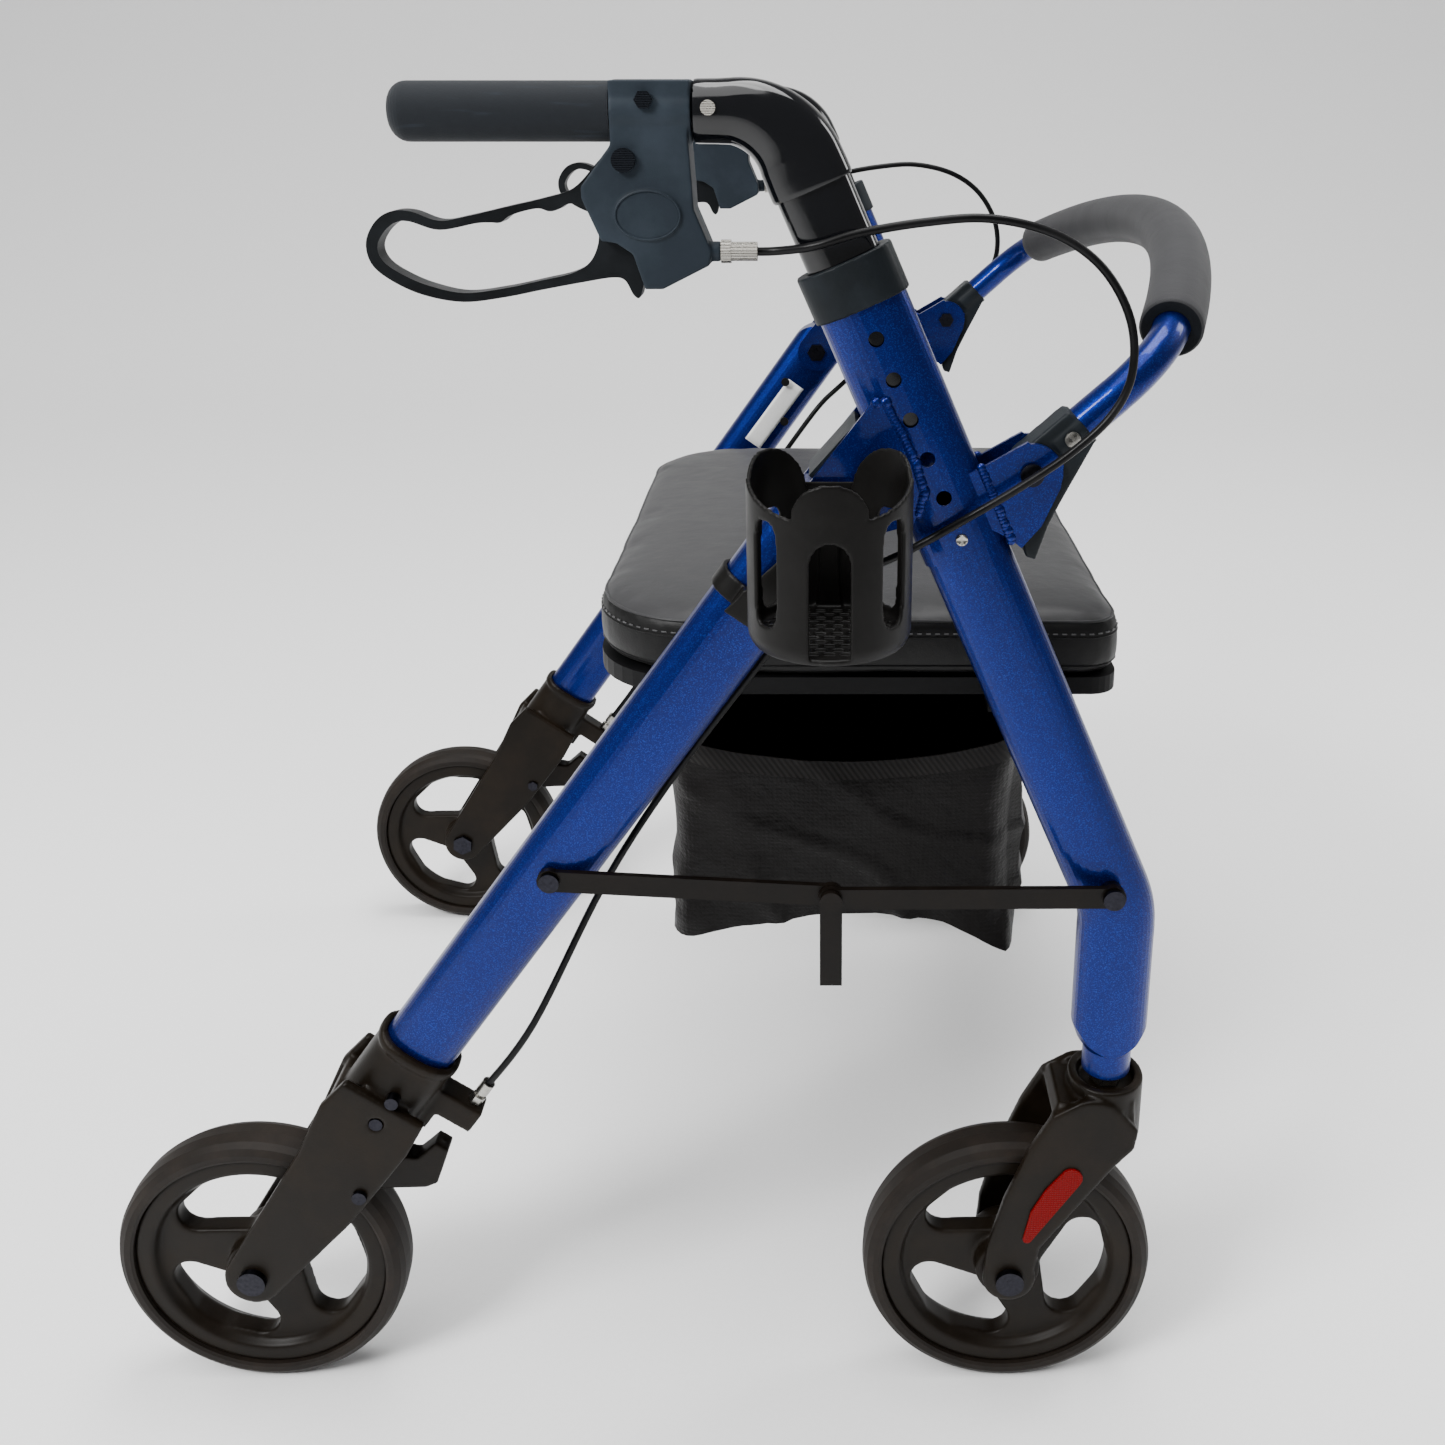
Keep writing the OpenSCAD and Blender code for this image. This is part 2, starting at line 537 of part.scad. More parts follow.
// ---- Seat ----
module seat_outline(r_rear, r_front, inset = 0) {
    w = seat_w / 2 - inset;
    x0 = seat_x0 + inset;
    x1 = seat_x1 - inset;
    polygon(concat(arc([x1 - r_front, w - r_front], r_front, 0, 90, 6),
        arc([x0 + r_rear, w - r_rear], r_rear, 90, 180, 10),
        arc([x0 + r_rear, -w + r_rear], r_rear, 180, 270, 10),
        arc([x1 - r_front, -w + r_front], r_front, 270, 360, 6)));
}
module seat_cushion() color("#2d2e31") middle() translate([0, 0, pan_z + pan_t])
    linear_extrude(cushion_t) seat_outline(70, 22);
module seat_pan() color("#1a1a1a") middle() {
    translate([0, 0, pan_z]) linear_extrude(pan_t) seat_outline(66, 18, 6);
    // rubber rests that sit on the rear seat tube
    for (y = [-100, 100]) translate([rear_tube_x - 9, y - 15, pan_z - 2.7]) cube([18, 30, 2.7]);
}
module seat_hinges() color("#2a2a2c") middle() for (y = [-185, 185]) difference() {
    translate([front_tube_x - 16, y - 15, seat_tube_z - cross_r - 3]) cube([32, 30, 2 * cross_r + 6]);
    rod_y([front_tube_x, seat_tube_z], cross_r + fit, -300, 300);
}

// ---- Backrest: tube bent in the plane that slopes up and ahead of the hinge ----
module in_slope() translate([back_bolt[0], mid_y, back_bolt[1]]) rotate([0, -back_slope, 0]) children();
socket_u = 20.5;                                        // where the block's socket for the bar starts
socket_len = 20;
socket_wall = 2.2;
socket_screw = back_bolt + (socket_u + socket_len / 2) * [cos(back_slope), sin(back_slope)];
back_arc_r = 606;                                       // bow of the bar
back_bend_r = 55;                                       // bend at each arm
back_c = back_reach - back_arc_r;                       // centre of the bow
back_half = track / 2 - back_bend_r;
back_s = back_c + sqrt(pow(back_arc_r - back_bend_r, 2) - pow(back_half, 2));
back_sweep = atan2(back_half, back_s - back_c);
module backrest_path(r, arms = true) {
    translate([back_c, 0, 0]) rotate([0, 0, -back_sweep]) rotate_extrude(angle = 2 * back_sweep, $fn = 240)
        translate([back_arc_r, 0]) circle(r, $fn = 40);
    if (arms) for (s = [-1, 1]) mirror([0, s > 0 ? 0 : 1, 0]) {
        translate([back_s, back_half, 0]) rotate([0, 0, back_sweep - 1]) rotate_extrude(angle = 92 - back_sweep,
            $fn = 96) translate([back_bend_r, 0]) circle(r - 0.1, $fn = 40);
        translate([socket_u + 3, track / 2, 0]) rotate([0, 90, 0]) cylinder(r = r, h = back_s - socket_u - 3, $fn = 40);
    }
}
module backrest_bar() color("#1a3f9e") in_slope() backrest_path(back_r);
module backrest_foam() color("#5c5d61") in_slope() difference() {
    backrest_path(foam_r, false);
    translate([back_c, 0, 0]) rotate([0, 0, -back_sweep - 2]) rotate_extrude(angle = 2 * back_sweep + 4, $fn = 240)
        translate([back_arc_r, 0]) circle(back_r + fit, $fn = 40);
}
block_d = 2 * (bracket_in - gap);
module on_slope(u) translate([back_bolt[0], 0, back_bolt[1]]) rotate([0, 90 - back_slope, 0]) translate([0, 0, u])
    children();
module backrest_blocks() color("#26282b") both() difference() {
    union() {
        slab(-block_d / 2, block_d / 2) polygon([back_bolt + [-9, 10], back_bolt + [20, 36],
            back_bolt + [37, 20], back_bolt + [20, -14], back_bolt + [12, -31], back_bolt + [5, -53],
            back_bolt + [-1, -51], back_bolt + [-6, -26], back_bolt + [-15, -10]]);
        on_slope(socket_u) cylinder(r = back_r + socket_wall, h = socket_len);
    }
    rod_y(back_bolt, bolt_r + fit, -40, 40);
    on_slope(socket_u + 3) cylinder(r = back_r + fit, h = 60);
    rod_y(socket_screw, screw_head_r + fit, back_r + socket_wall - 1, 40);
}
module backrest_screws() color("#b9bbbd") both() {
    rod_y(socket_screw, screw_head_r, back_r + socket_wall - 1, back_r + socket_wall + 1);
}

// ---- Handles ----
module handle_tube() color("#0c0c0e") difference() {
    union() {
        on_front(330) linear_extrude(corner_t - elbow_cut - 330) polygon(oval(stem_w, stem_d));
        on_front(corner_t - elbow_cut - 15) linear_extrude(15) polygon(oval(stem_w + 3, stem_d + 3));
        translate([corner[0] - elbow_cut, 0, grip_z - elbow_r]) rotate([90, 0, 0]) rotate([0, 0, front_tilt - 1])
            rotate_extrude(angle = 92 - front_tilt) translate([elbow_r, 0]) polygon(oval(37, stem_d + 2));
        translate([corner[0] - 47 + gap, 0, grip_z]) rotate([0, 90, 0]) cylinder(r = 16.4, h = 47 - elbow_cut);
        translate([corner[0] - 90 - grip_len + 8, 0, grip_z]) rotate([0, 90, 0]) cylinder(r = bar_r, h = grip_len + 40);
    }
    on_front(329) linear_extrude(150) polygon(oval(stem_w - 4, stem_d - 4));
}
module grip() color("#1e2126") translate([corner[0] - 91.5, 0, grip_z]) rotate([0, -90, 0]) difference() {
    rotate_extrude() polygon(concat([[0, 0], [grip_r, 0], [grip_r, grip_len - 10]],
        arc([grip_r - 10, grip_len - 10], 10, 0, 90, 8), [[0, grip_len]]));
    translate([0, 0, -1]) cylinder(r = bar_r + fit, h = grip_len - 5);
}
lever_pivot = corner + [-84, -25];
module at_corner() translate([corner[0], 0, grip_z]) children();
module brake_housing() color("#2b3138") at_corner() difference() {
    union() {
        slab(-housing_d / 2, housing_d / 2) polygon([[-91, 16], [-47, 16], [-50, -2], [-48, -32],
            [-47, -51], [-38, -73], [-39, -81], [-65, -94], [-75, -94], [-81, -75], [-90, -69],
            [-98, -68], [-108, -45], [-108, -39], [-91, -17]]);
        translate([-91, 0, 0]) rotate([0, 90, 0]) cylinder(r = grip_r + 0.6, h = 43.5);
        translate([-42, 8, -74]) rotate([0, 90, 0]) cylinder(r = 5.5, h = 9);
        slab(housing_d / 2 - eps, housing_d / 2 + 0.8) translate([-72, -54]) scale_oval(17.8, 13.2);
    }
    translate([-100, 0, 0]) rotate([0, 90, 0]) cylinder(r = bar_r + fit, h = 60);
    translate([-125, -lever_d / 2 - gap, -110]) cube([69, lever_d + 2 * gap, 97]);
    rod_y([-84, -25], bolt_r + fit, -40, 40);
}
module scale_oval(a, b) polygon([for (i = [0:31]) [a * cos(i * 11.25), b * sin(i * 11.25)]]);
module handle_hardware() color("#b9bbbd") at_corner() {
    hex_bolt([-84, -25], bolt_r, -housing_d / 2 - 0.1, housing_d / 2 + 0.1, 3);
    rod_y([-72, 6], 5, grip_r + 0.7, grip_r + 3.4, 6);
    rod_y([-38, 2], 4, 16.5, 18);
    translate([-33, 8, -74]) rotate([0, 90, 0]) difference() {
        union() {
            cylinder(r = 5.2, h = 20);
            cylinder(r = 6.4, h = 5.5);
        }
        translate([0, 0, 12]) cylinder(r = cable_d / 2 + cable_gap, h = 9);
    }
}
module brake_lever() color("#1d2023") at_corner() difference() {
    slab(-lever_d / 2, lever_d / 2) difference() {
        polygon([[-76, -20], [-80, -16], [-90, -17], [-112, -40], [-150, -50.5], [-188, -57], [-203, -53],
            [-214, -53], [-224, -60], [-229, -71], [-226, -82], [-215, -91], [-199, -98], [-176, -102],
            [-142, -96], [-113, -90], [-89, -87], [-81, -99], [-76, -90], [-70, -66], [-67, -40]]);
        polygon([[-108, -47], [-150, -56.5], [-188, -63], [-204, -59], [-212, -59], [-219, -64],
            [-223, -72], [-220, -80], [-210, -87], [-197, -93], [-176, -97], [-142, -91], [-114, -84],
            [-100, -72], [-97, -60], [-101, -50]]);
    }
    rod_y([-84, -25], bolt_r + fit, -40, 40);
}

// ---- Brake shoes ----
module brake_shoe() color("#242424") on_rear(0) difference() {
    union() {
        slab(-11, 11) union() {
            translate(brake_pin) circle(7.5);
            polygon([[-16, 101], [-16, 112], [4, 114], [24, 107], [24, 98]]);
        }
        slab(-7, 7) polygon([[20, 90], [30, 92], [62, 117], [66, 124], [58, 152], [48, 152], [44, 134],
            [32, 128], [18, 106]]);
    }
    rod_y([0, 0], wheel_r + 3, -20, 20, 96);
    rod_y(brake_pin, brake_pin_r + fit, -60, 60);
    translate([57 - 4, 0, 140]) cylinder(r = 1.5, h = 20);
}

// ---- Folding side brace ----
module link_shape(a, b) {
    run = (b - a) / norm(b - a);
    off = link_w / 2 * [run[1], -run[0]];
    translate(a) circle(link_w / 2 + 1);
    translate(b) circle(link_w / 2 + 1);
    polygon([a + off, b + off, b - off, a - off]);
}
module brace_link_rear() color("#15161a") difference() {
    slab(link_in, link_in + link_t) link_shape(brace_r, brace_mid);
    rod_y(brace_r, bolt_r + fit, 0, 60);
    rod_y(brace_mid, bolt_r + 0.5, 0, 60);
}
module brace_link_front() color("#15161a") difference() {
    union() {
        slab(link2_in, link2_in + link_t) union() {
            link_shape(brace_mid, brace_f);
            translate(brace_mid + [-7, -62]) square([14, 60]);
        }
        rod_y(brace_mid, 7, link2_in + link_t - eps, link2_in + link_t + 3.5);
    }
    rod_y(brace_f, bolt_r + fit, 0, 60);
}

// ---- Drawing ----
side(-1) front_leg();  // front_leg_near
side(1) front_leg();  // front_leg_far
side(-1) front_sleeve();  // front_sleeve_near
side(1) front_sleeve();  // front_sleeve_far
front_cross_tube();
sleeve_collars();
front_frame_bolts();
gusset_pads();
caster_stems();
storage_bag();
height_knobs();
side(-1) cable_tube();  // brake_cable_near
side(1) cable_tube();  // brake_cable_far
side(-1) rear_leg();  // rear_leg_near
side(1) rear_leg();  // rear_leg_far
rear_cross_tube();
side(-1) rear_fork();  // rear_fork_near
side(1) rear_fork();  // rear_fork_far
rear_frame_bolts();
cup_holder();
cup_clamp();
cable_clips();
cable_adjusters();
side(-1) tyre(rear_axle);  // rear_tyre_near
side(1) tyre(rear_axle);  // rear_tyre_far
side(-1) rim(rear_axle);  // rear_rim_near
side(1) rim(rear_axle);  // rear_rim_far
side(-1) caster_fork();  // caster_fork_near
side(1) caster_fork();  // caster_fork_far
side(-1) caster_axle();  // caster_axle_near
side(1) caster_axle();  // caster_axle_far
side(-1) reflector();  // reflector_near
side(1) reflector();  // reflector_far
side(-1) tyre(front_axle);  // front_tyre_near
side(1) tyre(front_axle);  // front_tyre_far
side(-1) rim(front_axle);  // front_rim_near
side(1) rim(front_axle);  // front_rim_far
seat_cushion();
seat_pan();
seat_hinges();
backrest_bar();
backrest_foam();
backrest_blocks();
backrest_screws();
side(-1) handle_tube();  // handle_tube_near
side(1) handle_tube();  // handle_tube_far
side(-1) grip();  // grip_near
side(1) grip();  // grip_far
side(-1) brake_housing();  // brake_housing_near
side(1) brake_housing();  // brake_housing_far
side(-1) handle_hardware();  // handle_hardware_near
side(1) handle_hardware();  // handle_hardware_far
side(-1) brake_lever();  // brake_lever_near
side(1) brake_lever();  // brake_lever_far
side(-1) brake_shoe();  // brake_shoe_near
side(1) brake_shoe();  // brake_shoe_far
side(-1) brace_link_rear();  // brace_link_rear_near
side(1) brace_link_rear();  // brace_link_rear_far
side(-1) brace_link_front();  // brace_link_front_near
side(1) brace_link_front();  // brace_link_front_far
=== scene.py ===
import math  # noqa: E402

import bmesh  # noqa: E402
import bpy  # noqa: E402
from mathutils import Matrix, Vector, noise  # noqa: E402
from mathutils.bvhtree import BVHTree  # noqa: E402


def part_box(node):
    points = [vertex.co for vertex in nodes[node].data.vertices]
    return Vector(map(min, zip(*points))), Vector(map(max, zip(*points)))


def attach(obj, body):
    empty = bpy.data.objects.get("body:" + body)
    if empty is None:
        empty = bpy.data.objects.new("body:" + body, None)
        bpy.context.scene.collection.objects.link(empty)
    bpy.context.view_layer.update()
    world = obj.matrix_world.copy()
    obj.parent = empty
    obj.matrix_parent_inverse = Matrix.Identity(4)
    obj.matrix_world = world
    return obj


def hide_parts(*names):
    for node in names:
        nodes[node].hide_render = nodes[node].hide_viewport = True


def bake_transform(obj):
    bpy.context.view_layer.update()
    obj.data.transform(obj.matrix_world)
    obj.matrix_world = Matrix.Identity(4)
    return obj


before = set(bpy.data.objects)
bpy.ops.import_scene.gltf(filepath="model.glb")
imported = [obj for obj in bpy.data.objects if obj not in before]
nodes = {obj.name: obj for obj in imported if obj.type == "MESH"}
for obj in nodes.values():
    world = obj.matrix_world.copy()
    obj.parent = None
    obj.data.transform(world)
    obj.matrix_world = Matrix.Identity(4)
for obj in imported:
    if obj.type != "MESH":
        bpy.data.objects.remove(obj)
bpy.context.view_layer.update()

# ---- Walker frame: painted aluminium tube ----
# Oval drawn tube for the legs and round tube for the seat rails and the backrest.
# Aluminium, welded, then powder base with a metallic blue lacquer that has visible flake.


def linear(hexcode, alpha=1.0):
    """An sRGB hex colour as the linear colour that the shaders use."""
    parts = [int(hexcode[i:i + 2], 16) / 255 for i in (1, 3, 5)]
    return tuple(c / 12.92 if c < 0.04045 else ((c + 0.055) / 1.055) ** 2.4 for c in parts) + (alpha,)


def add(material, kind, inputs=(), **settings):
    """One node: settings are its own properties, and each input is a number, a colour or a socket to link."""
    node = material.node_tree.nodes.new(kind)
    for name, value in settings.items():
        setattr(node, name, value)
    for name, value in dict(inputs).items():
        if isinstance(value, bpy.types.NodeSocket):
            material.node_tree.links.new(value, node.inputs[name])
        else:
            node.inputs[name].default_value = value
    return node


def material(name):
    """An empty node material, with the place on the object to pattern it from, and its output."""
    made = bpy.data.materials.new(name)
    made.use_nodes = True
    made.node_tree.nodes.clear()
    place = add(made, "ShaderNodeTexCoord").outputs["Object"]
    return made, place


def surface(made, shader):
    add(made, "ShaderNodeOutputMaterial", {"Surface": shader.outputs[0]})
    return made


def dress(finish, *names):
    """Gives a finish to CAD nodes or pieces."""
    for name in names:
        piece = nodes.get(name) or bpy.data.objects[name]
        piece.data.materials.clear()
        piece.data.materials.append(finish)


SIDES = {"near": -1, "far": 1}
TRACK = 0.586  # between the two leg planes
MID_Y = sum(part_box("seat_cushion")[k].y for k in (0, 1)) / 2

# Metallic lacquer: aluminium flake under clear coat. Deep blue, with flakes that catch the light one by one.
blue_lacquer, place = material("metallic_blue_lacquer")
FLAKE = 0.0005  # metres across one flake, coarser than the real 0.1 mm so that it shows
flakes = add(blue_lacquer, "ShaderNodeTexVoronoi", {"Vector": place, "Scale": 1 / FLAKE})
flake_tone = add(blue_lacquer, "ShaderNodeSeparateColor", {"Color": flakes.outputs["Color"]})
bright_flake = add(blue_lacquer, "ShaderNodeMapRange", {
    "Value": flake_tone.outputs[0], "From Min": 0.70, "From Max": 1.0, "To Min": 0.0, "To Max": 0.36})
shade = add(blue_lacquer, "ShaderNodeTexNoise", {"Vector": place, "Scale": 9.0, "Detail": 2.0})
ground = add(blue_lacquer, "ShaderNodeMix", {
    0: shade.outputs["Fac"], 6: linear("#010e50"), 7: linear("#021661")}, data_type="RGBA")
flaked = add(blue_lacquer, "ShaderNodeMix", {
    0: bright_flake.outputs[0], 6: ground.outputs[2], 7: linear("#1448b8")}, data_type="RGBA")
orange_peel = add(blue_lacquer, "ShaderNodeTexNoise", {"Vector": place, "Scale": 260.0, "Detail": 2.0})
peel_bump = add(blue_lacquer, "ShaderNodeBump", {
    "Height": orange_peel.outputs["Fac"], "Strength": 0.12, "Distance": 0.0003})
flake_bump = add(blue_lacquer, "ShaderNodeBump", {
    "Height": flake_tone.outputs[1], "Strength": 0.25, "Distance": 0.0002,
    "Normal": peel_bump.outputs[0]})
surface(blue_lacquer, add(blue_lacquer, "ShaderNodeBsdfPrincipled", {
    "Base Color": flaked.outputs[2], "Metallic": 0.75, "Roughness": 0.36, "Normal": flake_bump.outputs[0],
    "Specular IOR Level": 0.15, "Coat Weight": 0.28, "Coat Roughness": 0.08, "Coat Normal": peel_bump.outputs[0]}))
dress(blue_lacquer, "front_leg_near", "front_leg_far", "rear_leg_near", "rear_leg_far", "front_sleeve_near",
      "front_sleeve_far", "front_cross_tube", "rear_cross_tube", "backrest_bar")


def soften(name, width, segments=2, angle=32):
    """Breaks the sharp edges of a CAD node, as moulding, bending and paint do."""
    bevel = nodes[name].modifiers.new("edge", "BEVEL")
    bevel.width = width
    bevel.segments = segments
    bevel.limit_method = "ANGLE"
    bevel.angle_limit = math.radians(angle)
    bevel.harden_normals = True
    return bevel


def smooth_shaded(piece, angle=30):
    """Smooth shading with creases kept above the angle."""
    for polygon in piece.data.polygons:
        polygon.use_smooth = True
    piece.data.set_sharp_from_angle(angle=math.radians(angle))


def piece_from(name, vertices, faces, finish, body=None, slot=None, smooth=True):
    """A mesh piece in the row frame, on its body."""
    mesh = bpy.data.meshes.new(name)
    mesh.from_pydata([tuple(v) for v in vertices], [], faces)
    mesh.validate()
    made = bpy.data.objects.new(name, mesh)
    bpy.context.scene.collection.objects.link(made)
    for one in finish if isinstance(finish, (list, tuple)) else [finish]:
        mesh.materials.append(one)
    if smooth:
        smooth_shaded(made, 40)
    if body:
        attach(made, body)
    return made


def side_point(x, out, z, side):
    """A point given ahead, outboard of that side's leg plane, and up, in millimetres, as metres in the row frame."""
    return Vector((x / 1000, MID_Y + SIDES[side] * (TRACK / 2 + out / 1000), z / 1000))


def tube_shape(points, radii, sides=12, closed_ends=True, offset=0):
    """Rings of a tube along points, with no twist, as (vertices, faces)."""
    vertices, faces = [], []
    up = None
    for k, p in enumerate(points):
        ahead = (points[min(k + 1, len(points) - 1)] - points[max(k - 1, 0)]).normalized()
        if up is None:
            up = ahead.orthogonal().normalized()
        up = (up - ahead * up.dot(ahead)).normalized()
        across = ahead.cross(up)
        radius = radii if isinstance(radii, float) else radii[k]
        for i in range(sides):
            a = 2 * math.pi * i / sides
            vertices.append(p + radius * (math.cos(a) * up + math.sin(a) * across))
    for k in range(len(points) - 1):
        for i in range(sides):
            j = (i + 1) % sides
            faces.append([offset + v for v in
                          (k * sides + i, k * sides + j, (k + 1) * sides + j, (k + 1) * sides + i)])
    if closed_ends:
        faces.append([offset + i for i in reversed(range(sides))])
        faces.append([offset + (len(points) - 1) * sides + i for i in range(sides)])
    return vertices, faces


def merged(shapes):
    """Several (vertices, faces) shapes as one."""
    vertices, faces = [], []
    for more, tiles in shapes:
        start = len(vertices)
        vertices += more
        faces += [[start + i for i in f] for f in tiles]
    return vertices, faces


# ---- Weld beads where the gussets and brackets meet the sleeves ----
# TIG beads of overlapping puddles under the same lacquer, about 5 mm wide.
TILT, BEND = math.radians(23.5), (300, 378)      # the front leg's lean, and where it bends


def on_leg(t, w):
    """Ahead and up, in millimetres, of a point t up the front leg from its bend and w ahead of its axis."""
    return (BEND[0] - t * math.sin(TILT) + w * math.cos(TILT), BEND[1] + t * math.cos(TILT) + w * math.sin(TILT))


GUSSET_BEAD = [(368, -14), (366, -9.5), (346, -8), (326, -7.5), (309, -9.5), (297, -18)]
BRACKET_BEAD = [(308, 26.5), (258, 26.5)]
PUDDLE, FLATTENED = 2.3, 0.7     # millimetres from one puddle to the next, and a puddle's height by its breadth
WANDER = 0.8                     # millimetres that the bead strays from its line
for side in SIDES:
    blobs = []
    for corners, radius, out in ((GUSSET_BEAD, 3.4, 18.6), (BRACKET_BEAD, 3.0, 13.8)):
        for face in (out, -out):
            for (t0, w0), (t1, w1) in zip(corners, corners[1:]):
                count = max(1, round(math.dist((t0, w0), (t1, w1)) / PUDDLE))
                for k in range(count):
                    t, w = t0 + (t1 - t0) * k / count, w0 + (w1 - w0) * k / count
                    wobble = noise.noise(Vector((t * 0.7, w, face)))
                    x, z = on_leg(t, w + WANDER * wobble)
                    centre = side_point(x, face, z, side)
                    ball = bmesh.new()
                    bmesh.ops.create_icosphere(ball, subdivisions=2, radius=radius / 1000 * (1 + 0.2 * wobble))
                    for v in ball.verts:
                        v.co = centre + Vector((v.co.x, v.co.y * FLATTENED, v.co.z))
                    blobs.append(([v.co.copy() for v in ball.verts],
                                  [[v.index for v in f.verts] for f in ball.faces]))
                    ball.free()
    piece_from(f"weld_beads_{side}", *merged(blobs), blue_lacquer, "front_frame", "blue_paint")

# ---- Handle stems and elbows ----
# Oval steel stem with a moulded elbow over its end, in black stoving enamel.
# Very glossy, with an even film that ripples slightly, so it takes long sharp reflections.
black_enamel, place = material("black_stoving_enamel")
ripple = add(black_enamel, "ShaderNodeTexNoise", {"Vector": place, "Scale": 90.0, "Detail": 1.0})
ripple_bump = add(black_enamel, "ShaderNodeBump", {
    "Height": ripple.outputs["Fac"], "Strength": 0.10, "Distance": 0.0006})
scuffs = add(black_enamel, "ShaderNodeTexNoise", {"Vector": place, "Scale": 35.0, "Detail": 6.0, "Roughness": 0.7})
scuff_gloss = add(black_enamel, "ShaderNodeMapRange", {
    "Value": scuffs.outputs["Fac"], "From Min": 0.45, "From Max": 0.75, "To Min": 0.07, "To Max": 0.22})
surface(black_enamel, add(black_enamel, "ShaderNodeBsdfPrincipled", {
    "Base Color": linear("#090a0d"), "Roughness": scuff_gloss.outputs[0], "IOR": 1.5,
    "Specular IOR Level": 0.42, "Normal": ripple_bump.outputs[0]}))
GRIP_Z, STEM_TOP, ELBOW_R = 867.0, 533.2, 42.0    # the grip's height, where the stem's line meets it, the bend
CORNER_X = 87.377                                 # where the stem's line and the grip's cross
ELBOW_CUT = ELBOW_R * math.tan((math.pi / 2 - TILT) / 2)


def superellipse(width, depth, count=48, power=0.74):
    """An oval tube's outline, as (across, out) pairs."""
    outline = []
    for i in range(count):
        a = 2 * math.pi * (i + 0.5) / count
        c, d = math.cos(a), math.sin(a)
        outline.append((width / 2 * math.copysign(abs(c) ** power, c), depth / 2 * math.copysign(abs(d) ** power, d)))
    return outline


def oval_sweep(stations, side, count=48):
    """A closed oval tube in the side's plane. A station is (x, z, heading, width, depth, power)."""
    vertices, faces = [], []
    for x, z, heading, width, depth, power in stations:
        across = (math.sin(heading), -math.cos(heading))
        for w, out in superellipse(width, depth, count, power):
            vertices.append(side_point(x + w * across[0], out, z + w * across[1], side))
    for k in range(len(stations) - 1):
        for i in range(count):
            j = (i + 1) % count
            faces.append([k * count + i, k * count + j, (k + 1) * count + j, (k + 1) * count + i])
    faces.append(list(reversed(range(count))))
    faces.append([(len(stations) - 1) * count + i for i in range(count)])
    return vertices, faces


up_leg = math.pi / 2 + TILT
stem = [(*on_leg(t, 0), up_leg, 43, 29, 0.74) for t in range(330, 501, 10)]
elbow = [(*on_leg(STEM_TOP - ELBOW_CUT - d, 0), up_leg, w, 31.5 + (w - 44) * 0.5, 0.78)
         for d, w in ((17, 43.0), (16.8, 45.6), (15.6, 47.2), (14, 47.4), (8, 47.2), (0, 46.6))]
arc_x, arc_z = CORNER_X - ELBOW_CUT, GRIP_Z - ELBOW_R
for k in range(1, 25):
    a = TILT + (math.pi / 2 - TILT) * k / 24
    t = k / 24
    elbow.append((arc_x + ELBOW_R * math.cos(a), arc_z + ELBOW_R * math.sin(a), a + math.pi / 2,
                  46.6 - 11.6 * t ** 1.2, 33.0 + 0.5 * t, 0.78 + 0.2 * t))
elbow += [(x, GRIP_Z, math.pi, w, d, 0.99) for x, w, d in ((54, 34.4, 33.6), (48, 34.2, 33.6), (43, 34.2, 33.6),
                                                          (41.2, 33.6, 33.0), (40.6, 31.6, 31.0))]
for side in SIDES:
    shell = piece_from(f"handle_shell_{side}", *merged([oval_sweep(stem, side), oval_sweep(elbow, side)]),
                       black_enamel, f"handle_{side}", "elbow_black")
    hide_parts(f"handle_tube_{side}")

# ---- Moulded plastic fittings ----
# Injection-moulded nylon and ABS: collars, backrest blocks, brake housings, levers, cup holder, straps.
# Satin with a fine spark-eroded grain. Each has its own shade of near black.


def moulded_plastic(name, shade, light, gloss, grain=0.0006, depth=0.00012, shine=0.13):
    """Injection-moulded plastic: a fine grained skin, with paler rubbed places."""
    made, place = material(name)
    rub = add(made, "ShaderNodeTexNoise", {"Vector": place, "Scale": 22.0, "Detail": 5.0, "Roughness": 0.65})
    rubbed = add(made, "ShaderNodeMapRange", {
        "Value": rub.outputs["Fac"], "From Min": 0.42, "From Max": 0.72, "To Min": 0.0, "To Max": 1.0})
    tone = add(made, "ShaderNodeMix", {
        0: rubbed.outputs[0], 6: linear(shade), 7: linear(light)}, data_type="RGBA")
    sheen = add(made, "ShaderNodeMapRange", {
        "Value": rub.outputs["Fac"], "From Min": 0.3, "From Max": 0.7,
        "To Min": gloss - 0.06, "To Max": gloss + 0.08})
    pits = add(made, "ShaderNodeTexNoise", {"Vector": place, "Scale": 1 / grain, "Detail": 2.0})
    bump = add(made, "ShaderNodeBump", {"Height": pits.outputs["Fac"], "Strength": 0.5, "Distance": depth})
    return surface(made, add(made, "ShaderNodeBsdfPrincipled", {
        "Base Color": tone.outputs[2], "Roughness": sheen.outputs[0], "IOR": 1.5, "Specular IOR Level": shine,
        "Normal": bump.outputs[0]}))


